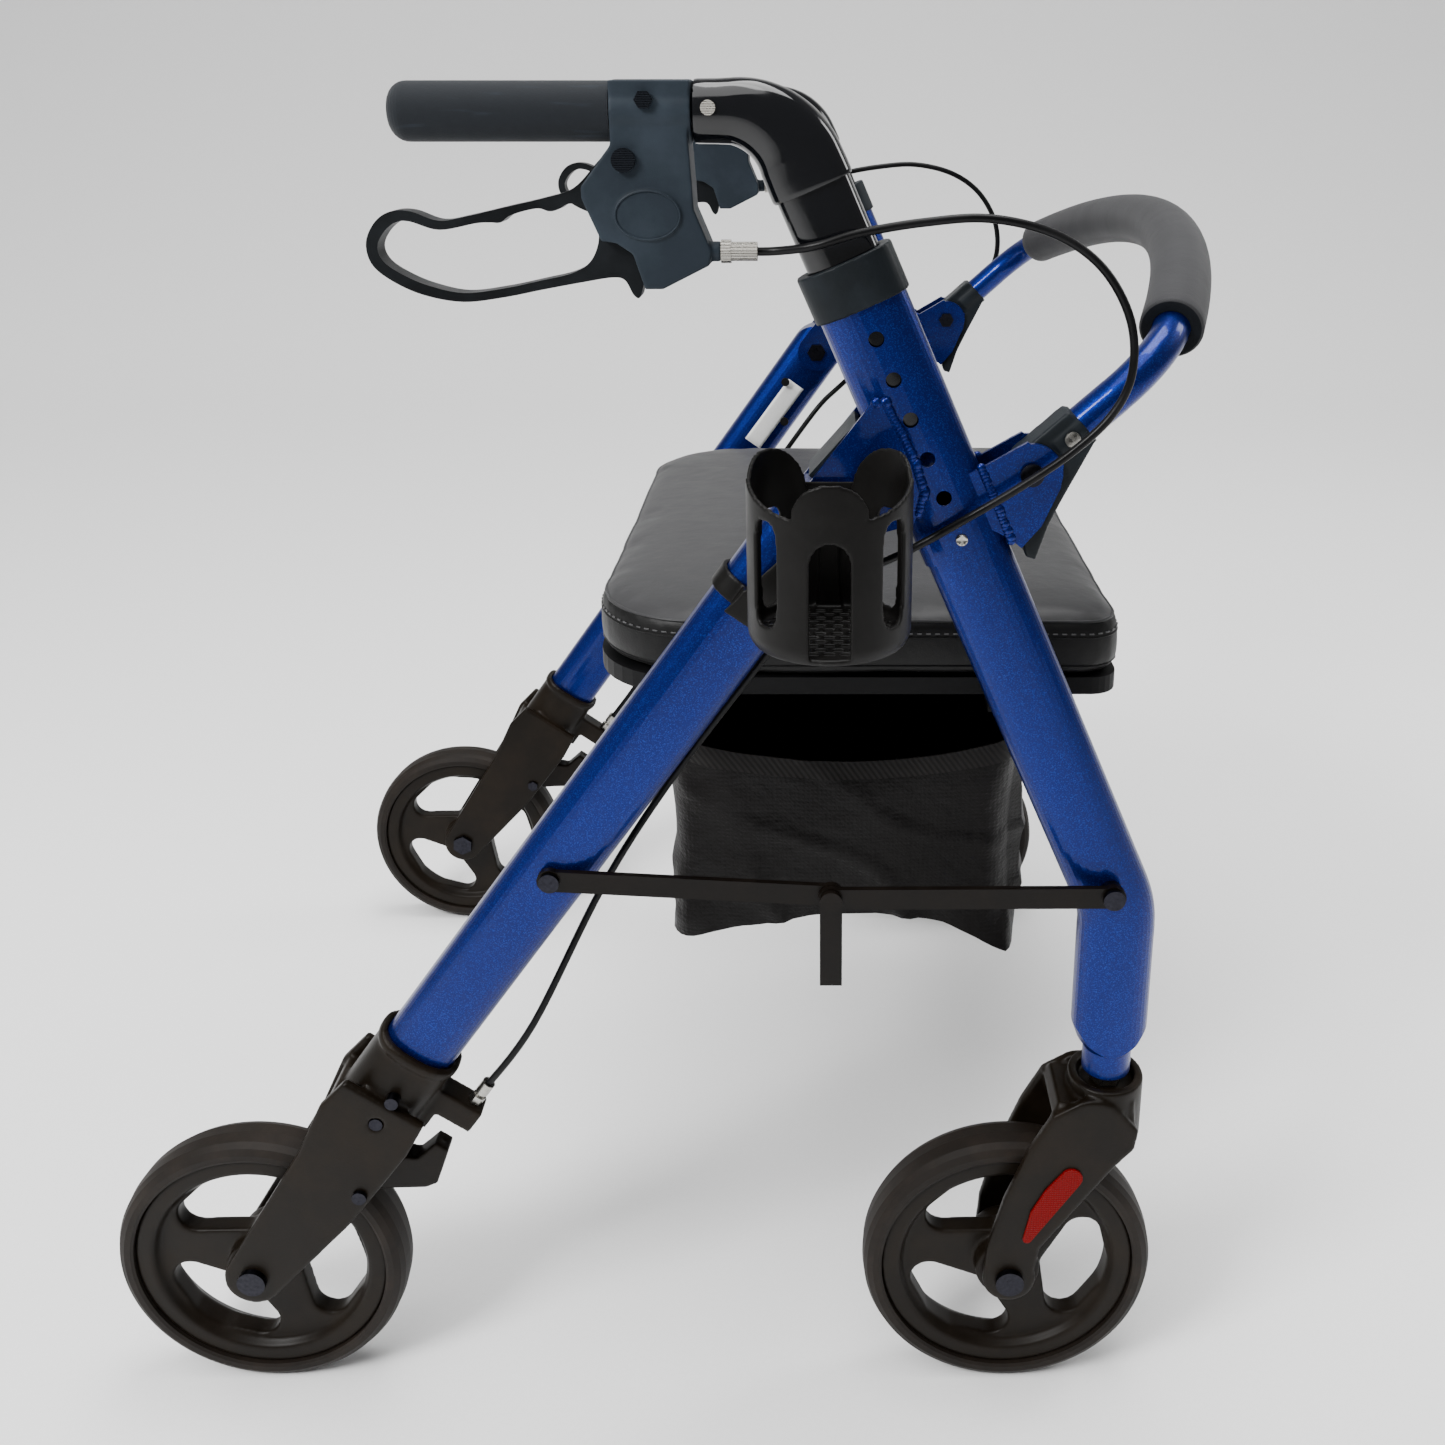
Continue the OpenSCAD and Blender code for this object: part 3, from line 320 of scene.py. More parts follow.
collar_nylon = moulded_plastic("collar_nylon", "#14181b", "#1c2126", 0.46)
housing_nylon = moulded_plastic("housing_glass_filled_nylon", "#20272e", "#2a323a", 0.50)
lever_nylon = moulded_plastic("lever_nylon", "#0b0d0f", "#14171a", 0.40)
cup_plastic = moulded_plastic("cup_polypropylene", "#0b0a09", "#131211", 0.42)
brace_enamel = moulded_plastic("brace_satin_enamel", "#090604", "#120d09", 0.34, grain=0.002)
pan_plastic = moulded_plastic("pan_polypropylene", "#0a0a0b", "#121213", 0.55)
dress(collar_nylon, "sleeve_collars", "backrest_blocks", "height_knobs", "gusset_pads")
dress(housing_nylon, "brake_housing_near", "brake_housing_far")
dress(cup_plastic, "cup_clamp")
dress(brace_enamel, "brace_link_rear_near", "brace_link_rear_far", "brace_link_front_near", "brace_link_front_far")
dress(pan_plastic, "seat_pan", "seat_hinges", "cable_clips")


def flowed(name, cell, passes):
    """Rounds a CAD node all over, as a moulding with generous radii has."""
    remesh = nodes[name].modifiers.new("skin", "REMESH")
    remesh.mode = "VOXEL"
    remesh.voxel_size = cell
    remesh.use_smooth_shade = True
    relax = nodes[name].modifiers.new("radii", "SMOOTH")
    relax.factor = 0.5
    relax.iterations = passes


for side in SIDES:
    flowed(f"brake_housing_{side}", 0.0009, 5)
    for link in ("rear", "front"):
        soften(f"brace_link_{link}_{side}", 0.0006)
    soften(f"front_sleeve_{side}", 0.0004)
for name, cell, passes in (("backrest_blocks", 0.0011, 5), ("sleeve_collars", 0.0009, 4),
                           ("cup_clamp", 0.0009, 4), ("seat_hinges", 0.0010, 5),
                           ("height_knobs", 0.0008, 4)):
    flowed(name, cell, passes)
soften("seat_pan", 0.002)

# the raised oval on the outer cheek of each housing, a moulded line 1.2 mm wide
OVAL_BACK, OVAL_DOWN, OVAL_LONG, OVAL_TALL, CHEEK_OUT, OVAL_LINE = 72, 54, 17.6, 13.0, 15.9, 0.0006
for side in SIDES:
    ring = [side_point(CORNER_X - OVAL_BACK + OVAL_LONG * math.cos(a), CHEEK_OUT,
                       GRIP_Z - OVAL_DOWN + OVAL_TALL * math.sin(a), side)
            for a in [math.radians(6 * k) for k in range(61)]]
    piece_from(f"housing_oval_{side}", *tube_shape(ring, OVAL_LINE, 8, closed_ends=False), housing_nylon,
               f"handle_{side}", "housing_plastic")

# ---- Brake levers ----
# Moulded loop levers in glass-filled nylon: a thin strap round the fingers, with finger bumps under the upper
# arm, a rounded tip, and a solid root with a lock tooth, pinned through the housing.
LEVER_OUTER = [(-76, -20), (-80, -16), (-90, -17), (-100, -27), (-113, -40), (-130, -45.5), (-150, -50), (-172, -55),
               (-188, -57.5), (-203, -52.5), (-214, -52.5), (-223, -58), (-229, -69), (-227, -81), (-217, -90),
               (-200, -98), (-178, -102), (-155, -99.5), (-132, -95), (-110, -91), (-94, -88.5), (-87, -90),
               (-82.5, -98), (-79, -99.5), (-76.5, -92), (-72, -76), (-69, -60), (-67, -40), (-70, -27)]
LEVER_INNER = [(-107, -50), (-116, -48.5), (-122, -51.5), (-127, -52.5), (-134, -51), (-148, -54.5), (-154, -58.5),
               (-160, -58.5), (-168, -59), (-188, -62.5), (-204, -58), (-212, -58.5), (-219, -64), (-223, -72),
               (-220, -80), (-210, -87), (-196, -93), (-177, -97), (-155, -94.5), (-133, -90), (-116, -86),
               (-106, -80), (-101, -70), (-101, -60)]
LEVER_THICK = 14.4      # millimetres across


def rounded_outline(knots, steps=6):
    """A closed smooth outline through the knots."""
    count = len(knots)
    outline = []
    for i in range(count):
        a, b, c, d = (Vector(knots[(i + k) % count]) for k in (-1, 0, 1, 2))
        for s in [k / steps for k in range(steps)]:
            outline.append(0.5 * (2 * b + (c - a) * s + (2 * a - 5 * b + 4 * c - d) * s * s
                                  + (3 * b - a - 3 * c + d) * s ** 3))
    return outline


for side in SIDES:
    shape = bmesh.new()
    edges = []
    for knots in (LEVER_OUTER, LEVER_INNER):
        ring = [shape.verts.new(side_point(CORNER_X + p.x, -LEVER_THICK / 2, GRIP_Z + p.y, side))
                for p in rounded_outline(knots)]
        edges += [shape.edges.new((a, b)) for a, b in zip(ring, ring[1:] + ring[:1])]
    bmesh.ops.triangle_fill(shape, edges=edges, use_beauty=True)
    spread = bmesh.ops.extrude_face_region(shape, geom=shape.faces[:])
    for v in [g for g in spread["geom"] if isinstance(g, bmesh.types.BMVert)]:
        v.co.y += SIDES[side] * LEVER_THICK / 1000
    bmesh.ops.recalc_face_normals(shape, faces=shape.faces[:])
    lever = piece_from(f"lever_loop_{side}", [], [], lever_nylon)
    shape.to_mesh(lever.data)
    shape.free()
    rounding = lever.modifiers.new("rounding", "BEVEL")
    rounding.width, rounding.segments, rounding.limit_method = 0.0011, 3, "ANGLE"
    rounding.angle_limit = math.radians(50)
    smooth_shaded(lever, 40)
    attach(lever, f"lever_{side}")
    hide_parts(f"brake_lever_{side}")

# ---- Cup holder ----
# Moulded polypropylene cup: a ring and a slotted floor, a rounded petal in front with an arched slot, and two rear
# lobes with oval windows beside them. The wall is 2.6 mm. It clips on a strap round the near rear leg.
CUP_X, CUP_OUT, CUP_Z, CUP_R = 114.0, 71.0, 590.0, 43.6
CUP_WALL, CUP_TALL, FLOOR_R = 0.0026, 104, 41
SLOT_PITCH, SLOT_ROW = 9.0, 6.0      # millimetres between the floor's slots, along a row and from row to row


def in_oval(angle, z, middle, half_angle, middle_z, half_z):
    """Whether a place on the wall is in a window with rounded corners."""
    return ((angle - middle) / half_angle) ** 4 + ((z - middle_z) / half_z) ** 4 < 1


def dome(distance, half, foot, rise):
    """The height of a rounded lobe at a distance from its middle."""
    return foot + rise * math.sqrt(max(0.0, 1 - abs(distance / half) ** 2.3))


def in_cup_wall(angle, z):
    """Whether the cup's wall is there: angle in degrees from straight outboard, z in millimetres above its foot."""
    a = abs(angle)
    if a < 14.5 and 3 < z < dome(a, 14.5, 54, 13):
        return False                                            # the arched slot in the petal
    if a <= 26.5 + 11 * (1 - min(z, 85) / 85) ** 1.2:
        return z < 74 or z < dome(a, 28.5, 74, 24)              # the petal
    if in_oval(a, z, 50, 11.5, 46, 29) or in_oval(a, z, 130, 12, 37, 29):
        return False
    if a < 85:
        return z < 79 + 13 * ((a - 26) / 59) ** 1.4             # the hoops between the petal and the lobes
    return z < dome(a - 125, 38, 70, 30)


def in_cup_floor(x, out):
    """Whether the floor is there: plain but for staggered rows of slots."""
    row = math.floor(out / SLOT_ROW)
    along = (x + (SLOT_PITCH / 2 if row % 2 else 0.0)) % SLOT_PITCH
    return math.hypot(x, out) > FLOOR_R - 3 or not (1.3 < along < 7.7 and 1.6 < out - SLOT_ROW * row < 4.6)


vertices, faces, ids = [], [], {}
STEPS_ROUND, STEP_Z, FLOOR_STEP = 300, 1.0, 0.8


def cup_vertex(i, j):
    if (i % STEPS_ROUND, j) not in ids:
        a, z = 2 * math.pi * i / STEPS_ROUND, j * STEP_Z
        radius = CUP_R - (0.0 if z > 8 else 3.0 * (1 - z / 8) ** 2)
        ids[(i % STEPS_ROUND, j)] = len(vertices)
        vertices.append(side_point(CUP_X + radius * math.sin(a), CUP_OUT + radius * math.cos(a), CUP_Z + z, "near"))
    return ids[(i % STEPS_ROUND, j)]


for i in range(STEPS_ROUND):
    centre = (i + 0.5) * 360 / STEPS_ROUND
    centre = centre if centre <= 180 else centre - 360
    for j in range(CUP_TALL):
        if in_cup_wall(centre, (j + 0.5) * STEP_Z):
            faces.append([cup_vertex(i, j), cup_vertex(i + 1, j), cup_vertex(i + 1, j + 1), cup_vertex(i, j + 1)])
reach = int(FLOOR_R / FLOOR_STEP)
for i in range(-reach, reach):
    for j in range(-reach, reach):
        x, out = (i + 0.5) * FLOOR_STEP, (j + 0.5) * FLOOR_STEP
        if math.hypot(x, out) < FLOOR_R and in_cup_floor(x, out):
            faces.append([len(vertices) + k for k in range(4)])
            vertices += [side_point(CUP_X + x + e * FLOOR_STEP / 2, CUP_OUT + out + f * FLOOR_STEP / 2,
                                    CUP_Z + 1.8, "near") for e, f in ((-1, -1), (1, -1), (1, 1), (-1, 1))]
# a stiffening tongue up the inside of the back wall, seen through the arch
for k in range(12):
    for e in (-1, 1):
        vertices.append(side_point(CUP_X + e * (7.5 - 2.2 * math.sin(math.pi * k / 11)), CUP_OUT - 40.4,
                                   CUP_Z + 2 + 5.4 * k, "near"))
tongue = len(vertices) - 24
faces += [[tongue + 2 * k, tongue + 2 * k + 1, tongue + 2 * k + 3, tongue + 2 * k + 2] for k in range(11)]
cup = piece_from("cup_wall", vertices, faces, cup_plastic)
weld = cup.modifiers.new("join", "WELD")
weld.merge_threshold = 0.0001
shell = cup.modifiers.new("wall", "SOLIDIFY")
shell.thickness, shell.offset = CUP_WALL, 0.0
skin = cup.modifiers.new("skin", "REMESH")
skin.mode, skin.voxel_size, skin.use_smooth_shade = "VOXEL", 0.0008, True
radii = cup.modifiers.new("radii", "SMOOTH")
radii.factor, radii.iterations = 0.5, 7
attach(cup, "rear_frame")
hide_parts("cup_holder")

# ---- Hand grips ----
# Closed-cell foam rubber sleeves, slightly fuzzy and blue-black, with scuffs along the top where the hands rub.
grip_foam, place = material("grip_foam_rubber")
fuzz = add(grip_foam, "ShaderNodeTexNoise", {"Vector": place, "Scale": 1300.0, "Detail": 2.0})
long_way = add(grip_foam, "ShaderNodeMapping", {"Vector": place, "Scale": (30.0, 260.0, 260.0)})
rubs = add(grip_foam, "ShaderNodeTexNoise", {"Vector": long_way.outputs[0], "Scale": 1.0, "Detail": 4.0})
rub_mask = add(grip_foam, "ShaderNodeMapRange", {
    "Value": rubs.outputs["Fac"], "From Min": 0.60, "From Max": 0.80, "To Min": 0.0, "To Max": 0.7})
grip_tone = add(grip_foam, "ShaderNodeMix", {
    0: rub_mask.outputs[0], 6: linear("#0d1218"), 7: linear("#202832")}, data_type="RGBA")
fuzz_bump = add(grip_foam, "ShaderNodeBump", {
    "Height": fuzz.outputs["Fac"], "Strength": 0.6, "Distance": 0.0003})
surface(grip_foam, add(grip_foam, "ShaderNodeBsdfPrincipled", {
    "Base Color": grip_tone.outputs[2], "Roughness": 0.86, "Specular IOR Level": 0.3, "Sheen Weight": 0.08,
    "Sheen Roughness": 0.5, "Normal": fuzz_bump.outputs[0]}))
dress(grip_foam, "grip_near", "grip_far")

# ---- Wheels and forks ----
# Tyres are solid polyurethane rubber on moulded nylon rims with three broad spokes. The forks are glass-filled
# nylon with soft radii. All are a warm brown-black, the tyres duller and a little dusty.
fork_nylon = moulded_plastic("fork_glass_filled_nylon", "#0e0904", "#1a130b", 0.42, grain=0.0012)
rim_nylon = moulded_plastic("rim_nylon", "#100b06", "#1b150e", 0.44, grain=0.001)
tyre_rubber, place = material("tyre_polyurethane")
dust = add(tyre_rubber, "ShaderNodeTexNoise", {"Vector": place, "Scale": 18.0, "Detail": 8.0, "Roughness": 0.75})
dusty = add(tyre_rubber, "ShaderNodeMapRange", {
    "Value": dust.outputs["Fac"], "From Min": 0.45, "From Max": 0.8, "To Min": 0.0, "To Max": 1.0})
tyre_tone = add(tyre_rubber, "ShaderNodeMix", {
    0: dusty.outputs[0], 6: linear("#110b06"), 7: linear("#241c15")}, data_type="RGBA")
tyre_grain = add(tyre_rubber, "ShaderNodeTexNoise", {"Vector": place, "Scale": 700.0, "Detail": 3.0})
tyre_bump = add(tyre_rubber, "ShaderNodeBump", {
    "Height": tyre_grain.outputs["Fac"], "Strength": 0.5, "Distance": 0.0002})
surface(tyre_rubber, add(tyre_rubber, "ShaderNodeBsdfPrincipled", {
    "Base Color": tyre_tone.outputs[2], "Roughness": 0.62, "IOR": 1.52, "Specular IOR Level": 0.2,
    "Normal": tyre_bump.outputs[0]}))
for side in SIDES:
    dress(fork_nylon, f"rear_fork_{side}", f"caster_fork_{side}", f"brake_shoe_{side}")
    dress(rim_nylon, f"rear_rim_{side}", f"front_rim_{side}")
    dress(tyre_rubber, f"rear_tyre_{side}", f"front_tyre_{side}")
    flowed(f"rear_fork_{side}", 0.0012, 7)
    flowed(f"caster_fork_{side}", 0.0012, 9)
    flowed(f"brake_shoe_{side}", 0.0010, 5)
    flowed(f"rear_rim_{side}", 0.0012, 8)
    flowed(f"front_rim_{side}", 0.0012, 8)

# ---- Reflectors ----
# Red acrylic lenses bonded to the caster forks, moulded with small prisms under a polished face.
red_acrylic, place = material("reflector_red_acrylic")
PRISM = 0.0016  # metres across one prism
prisms = add(red_acrylic, "ShaderNodeTexVoronoi", {
    "Vector": place, "Scale": 1 / PRISM, "Randomness": 0.25}, feature="F1")
prism_tone = add(red_acrylic, "ShaderNodeMix", {
    0: prisms.outputs["Distance"], 6: linear("#780203"), 7: linear("#520102")}, data_type="RGBA")
prism_bump = add(red_acrylic, "ShaderNodeBump", {
    "Height": prisms.outputs["Distance"], "Strength": 0.8, "Distance": 0.0006})
surface(red_acrylic, add(red_acrylic, "ShaderNodeBsdfPrincipled", {
    "Base Color": prism_tone.outputs[2], "Roughness": 0.3, "IOR": 1.49, "Specular IOR Level": 0.06,
    "Normal": prism_bump.outputs[0]}))
for side in SIDES:
    dress(red_acrylic, f"reflector_{side}")
    soften(f"reflector_{side}", 0.0007, 3)

# ---- Bolts, screws and barrels ----
# Black-oxide steel bolts, and nickel-plated screws, adjusters and caster stems.
for name, shade, light, gloss in (("black_oxide_steel", "#16161a", "#33333a", 0.28),
                                  ("nickel_plate", "#8e8c87", "#bcbab4", 0.24)):
    plated, place = material(name)
    wear = add(plated, "ShaderNodeTexNoise", {"Vector": place, "Scale": 400.0, "Detail": 5.0})
    plated_tone = add(plated, "ShaderNodeMix", {
        0: wear.outputs["Fac"], 6: linear(shade), 7: linear(light)}, data_type="RGBA")
    plated_gloss = add(plated, "ShaderNodeMapRange", {
        "Value": wear.outputs["Fac"], "To Min": gloss - 0.08, "To Max": gloss + 0.16})
    wear_bump = add(plated, "ShaderNodeBump", {"Height": wear.outputs["Fac"], "Strength": 0.25, "Distance": 0.0002})
    surface(plated, add(plated, "ShaderNodeBsdfPrincipled", {
        "Base Color": plated_tone.outputs[2], "Metallic": 1.0, "Roughness": plated_gloss.outputs[0],
        "Normal": wear_bump.outputs[0]}))
black_steel, nickel = bpy.data.materials["black_oxide_steel"], bpy.data.materials["nickel_plate"]
dress(black_steel, "front_frame_bolts", "rear_frame_bolts", "caster_axle_near", "caster_axle_far")
# the housing's bolts are black oxide, and the barrel and elbow screw ahead of them nickel
mixed, place = material("housing_bolts_black_and_nickel")
spot = add(mixed, "ShaderNodeSeparateXYZ", {"Vector": place})
ahead_part = add(mixed, "ShaderNodeMath", {0: spot.outputs["X"], 1: 0.042}, operation="GREATER_THAN")
wear = add(mixed, "ShaderNodeTexNoise", {"Vector": place, "Scale": 400.0, "Detail": 4.0})
mixed_tone = add(mixed, "ShaderNodeMix", {
    0: ahead_part.outputs[0], 6: linear("#1a1c20"), 7: linear("#a5a29b")}, data_type="RGBA")
mixed_gloss = add(mixed, "ShaderNodeMapRange", {"Value": wear.outputs["Fac"], "To Min": 0.18, "To Max": 0.38})
turns = add(mixed, "ShaderNodeTexWave", {"Vector": place, "Scale": 260.0}, bands_direction="Z")
turn_bump = add(mixed, "ShaderNodeBump", {"Height": turns.outputs["Fac"], "Strength": 0.5, "Distance": 0.0004})
surface(mixed, add(mixed, "ShaderNodeBsdfPrincipled", {
    "Base Color": mixed_tone.outputs[2], "Metallic": 1.0, "Roughness": mixed_gloss.outputs[0],
    "Normal": turn_bump.outputs[0]}))
dress(mixed, "handle_hardware_near", "handle_hardware_far")
dress(nickel, "caster_stems", "cable_adjusters", "backrest_screws")
for name in ("front_frame_bolts", "rear_frame_bolts", "caster_axle_near", "caster_axle_far", "caster_stems",
             "cable_adjusters", "backrest_screws", "handle_hardware_near", "handle_hardware_far"):
    soften(name, 0.0006, 2, 40)

# ---- Sleeve screws and a blank label ----
# Nickel pan-head screws with a cross recess at the foot of each sleeve, and a blank paper label on the inside of the
# far rear leg. Each is set on the surface found under it.


def surface_at(name, x, z, side, way):
    """Where a CAD node's face is, looking at it along the width: way 1 from outboard, -1 from inboard."""
    piece = nodes[name]
    tree = BVHTree.FromPolygons([piece.matrix_world @ v.co for v in piece.data.vertices],
                                [list(p.vertices) for p in piece.data.polygons])
    look = Vector((0, SIDES[side] * way, 0))
    hit, _, _, _ = tree.ray_cast(side_point(x, 0, z, side) + look * 0.12, -look)
    return hit, look


def screw_head(centre, look, radius, height, finish, name, body, slot):
    """A pan head with a cross recess, facing along look."""
    count, rings = 28, [(1.0, 0.0), (1.0, 0.35), (0.93, 0.7), (0.72, 0.93), (0.40, 1.0), (0.0, 1.0)]
    corners, tiles = [], []
    for part, lift in rings:
        for k in range(count):
            a = 2 * math.pi * k / count
            c, d = abs(math.cos(a)), abs(math.sin(a))
            sunk = 0.45 * height if part in (0.40, 0.0) or part == 0.72 and min(c, d) < 0.24 else 0
            corners.append(centre + look * (height * lift - sunk * (0.6 if part == 0.72 else 1.0))
                           + Vector((radius * part * math.cos(a), 0, radius * part * math.sin(a))))
    for r in range(len(rings) - 1):
        tiles += [[r * count + k, r * count + (k + 1) % count, (r + 1) * count + (k + 1) % count, (r + 1) * count + k]
                  for k in range(count)]
    if look.y > 0:
        tiles = [list(reversed(t)) for t in tiles]
    return piece_from(name, corners, tiles, finish, body, slot)


for side in SIDES:
    spot, look = surface_at(f"front_sleeve_{side}", 191, 629, side, 1)
    screw_head(spot, look, 0.0036, 0.0018, nickel, f"sleeve_screw_{side}", "front_frame", "zinc")

label_paper, place = material("paper_label")
fibres = add(label_paper, "ShaderNodeTexNoise", {"Vector": place, "Scale": 500.0, "Detail": 3.0})
label_tone = add(label_paper, "ShaderNodeMix", {
    0: fibres.outputs["Fac"], 6: linear("#d8d8d6"), 7: linear("#e6e6e4")}, data_type="RGBA")
label_bump = add(label_paper, "ShaderNodeBump", {
    "Height": fibres.outputs["Fac"], "Strength": 0.2, "Distance": 0.0002})
surface(label_paper, add(label_paper, "ShaderNodeBsdfPrincipled", {
    "Base Color": label_tone.outputs[2], "Roughness": 0.5, "Normal": label_bump.outputs[0]}))
LABEL_TOP, LABEL_FOOT, LABEL_HALF = Vector((84, 604)), Vector((40, 544)), 9     # along the leg, and half its width
LABEL_LONG, LABEL_WIDE = 12, 6
along = (LABEL_FOOT - LABEL_TOP).normalized()
corners = []
for i in range(LABEL_LONG + 1):
    for j in range(LABEL_WIDE + 1):
        p = LABEL_TOP.lerp(LABEL_FOOT, i / LABEL_LONG)
        p = p + Vector((-along.y, along.x)) * LABEL_HALF * (2 * j / LABEL_WIDE - 1)
        spot, look = surface_at("rear_leg_far", p.x, p.y, "far", -1)
        corners.append(spot + look * 0.00025)
for j in range(LABEL_WIDE + 1):                 # straight along the leg, over its holes
    face = min(p.y for p in corners[j::LABEL_WIDE + 1])
    for p in corners[j::LABEL_WIDE + 1]:
        p.y = face
row = LABEL_WIDE + 1
piece_from("leg_label", corners, [[i * row + j, i * row + j + 1, (i + 1) * row + j + 1, (i + 1) * row + j]
                                  for i in range(LABEL_LONG) for j in range(LABEL_WIDE)],
           label_paper, "rear_frame")


def thicken(piece, thickness):
    """Gives a sheet its thickness, half to each side."""
    layer = piece.modifiers.new("thickness", "SOLIDIFY")
    layer.thickness, layer.offset = thickness, 0.0


thicken(bpy.data.objects["leg_label"], 0.0002)

# ---- Seat cushion ----
# Foam slab in a sewn vinyl cover: a grained top panel painted paler grey (painted light, the sheen it catches from
# above), black boxing round the sides, a thin welt where they meet and a row of lock stitch just below it. Firm, and
# slightly crowned.
low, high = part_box("seat_cushion")
SEAT_HALF = (high.y - low.y) / 2
SEAM_Z = high.z - 0.008
seat_middle = Vector(((low.x + high.x) / 2, MID_Y, 0))
REAR_CORNER, FRONT_CORNER = 0.078, 0.024


def seat_rim(step=0.004):
    """Points round the cushion's plan, from the middle of the front edge, anticlockwise."""
    corners = [(high.x - FRONT_CORNER, SEAT_HALF - FRONT_CORNER, FRONT_CORNER, 0),
               (low.x + REAR_CORNER, SEAT_HALF - REAR_CORNER, REAR_CORNER, 90),
               (low.x + REAR_CORNER, -SEAT_HALF + REAR_CORNER, REAR_CORNER, 180),
               (high.x - FRONT_CORNER, -SEAT_HALF + FRONT_CORNER, FRONT_CORNER, 270)]
    outline = []
    for x, y, r, start in corners:
        for k in range(13):
            a = math.radians(start + 90 * k / 12)
            outline.append(Vector((x + r * math.cos(a), MID_Y + y + r * math.sin(a), 0)))
    spaced = []
    for k, p in enumerate(outline):
        q = outline[(k + 1) % len(outline)]
        n = max(1, int((q - p).length / step))
        spaced += [p.lerp(q, i / n) for i in range(n)]
    return spaced


rim = seat_rim(0.006)
HALF_LONG, HALF_WIDE = 0.181, 0.238
levels = [(0.010, low.z), (0.003, low.z + 0.003), (0.0015, low.z + 0.012), (0.002, low.z + 0.026),
          (0.003, SEAM_Z - 0.004), (0.005, SEAM_Z + 0.001), (0.012, SEAM_Z + 0.0035), (0.045, SEAM_Z + 0.006),
          (0.10, SEAM_Z + 0.0075)]
vertices, faces = [], []
for inset, z in levels:
    for p in rim:
        away = p - seat_middle
        shrink = Vector((away.x * (1 - inset / HALF_LONG), away.y * (1 - inset / HALF_WIDE), 0))
        vertices.append(Vector((seat_middle.x + shrink.x, seat_middle.y + shrink.y, z)))
n = len(rim)
for k in range(len(levels) - 1):
    for i in range(n):
        j = (i + 1) % n
        faces.append([k * n + i, k * n + j, (k + 1) * n + j, (k + 1) * n + i])
faces.append(list(reversed(range(n))))
faces.append([(len(levels) - 1) * n + i for i in range(n)])

# Vinyl, calendered with a leather grain, with soft creases. The top panel is painted paler grey as painted light (the
# sheen it catches from above); the boxing under the seam stays black.
vinyl, place = material("seat_vinyl")
spot = add(vinyl, "ShaderNodeSeparateXYZ", {"Vector": place})
lit_top_mask = add(vinyl, "ShaderNodeMapRange", {
    "Value": spot.outputs["Z"], "From Min": SEAM_Z - 0.0003, "From Max": SEAM_Z + 0.0003})
hide_scale = add(vinyl, "ShaderNodeTexVoronoi", {"Vector": place, "Scale": 900.0}, feature="DISTANCE_TO_EDGE")
crease = add(vinyl, "ShaderNodeTexNoise", {"Vector": place, "Scale": 45.0, "Detail": 6.0, "Roughness": 0.6})
# painted light: the top panel's paler grey above the seam is a painted sheen from the light above, set against the
# black boxing
sheen_top_tone = add(vinyl, "ShaderNodeMix", {
    0: crease.outputs["Fac"], 6: linear("#2c2c2d"), 7: linear("#373738")}, data_type="RGBA")
side_tone = add(vinyl, "ShaderNodeMix", {
    0: crease.outputs["Fac"], 6: linear("#060606"), 7: linear("#0d0d0d")}, data_type="RGBA")
vinyl_tone = add(vinyl, "ShaderNodeMix", {
    0: lit_top_mask.outputs[0], 6: side_tone.outputs[2], 7: sheen_top_tone.outputs[2]}, data_type="RGBA")
grain_bump = add(vinyl, "ShaderNodeBump", {
    "Height": hide_scale.outputs["Distance"], "Strength": 0.35, "Distance": 0.0003})
crease_bump = add(vinyl, "ShaderNodeBump", {
    "Height": crease.outputs["Fac"], "Strength": 0.5, "Distance": 0.0012, "Normal": grain_bump.outputs[0]})
vinyl_gloss = add(vinyl, "ShaderNodeMapRange", {
    "Value": crease.outputs["Fac"], "To Min": 0.36, "To Max": 0.56})
surface(vinyl, add(vinyl, "ShaderNodeBsdfPrincipled", {
    "Base Color": vinyl_tone.outputs[2], "Roughness": vinyl_gloss.outputs[0], "IOR": 1.5,
    "Specular IOR Level": 0.2, "Sheen Weight": 0.02, "Normal": crease_bump.outputs[0]}))
cushion = piece_from("seat_cushion_cover", vertices, faces, vinyl)


def apply_modifiers(piece):
    """Leaves the piece with the mesh its modifiers give."""
    graph = bpy.context.evaluated_depsgraph_get()
    shape = bpy.data.meshes.new_from_object(piece.evaluated_get(graph))
    piece.modifiers.clear()
    piece.data = shape


def puff(piece, cell, pressure, cap, frames=20):
    """Fills a closed cover by cloth simulation, and lets no point move further than the cap."""
    remesh = piece.modifiers.new("skin", "REMESH")
    remesh.mode = "VOXEL"
    remesh.voxel_size = cell
    apply_modifiers(piece)
    before = [v.co.copy() for v in piece.data.vertices]
    cloth = piece.modifiers.new("cover", "CLOTH")
    cloth.settings.quality = 6
    cloth.settings.use_pressure = True
    cloth.settings.uniform_pressure_force = pressure
    cloth.settings.effector_weights.gravity = 0
    cloth.settings.tension_stiffness = 25
    cloth.settings.compression_stiffness = 25
    cloth.point_cache.frame_start, cloth.point_cache.frame_end = 1, frames
    for f in range(1, frames + 1):
        bpy.context.scene.frame_set(f)
    apply_modifiers(piece)
    bpy.context.scene.frame_set(1)
    for v, rest in zip(piece.data.vertices, before):
        moved = v.co - rest
        if moved.length > cap:
            v.co = rest + moved.normalized() * cap
    divide = piece.modifiers.new("divide", "SUBSURF")
    divide.levels = divide.render_levels = 1
    apply_modifiers(piece)
    for polygon in piece.data.polygons:
        polygon.use_smooth = True


puff(cushion, 0.0055, 3.0, 0.004)
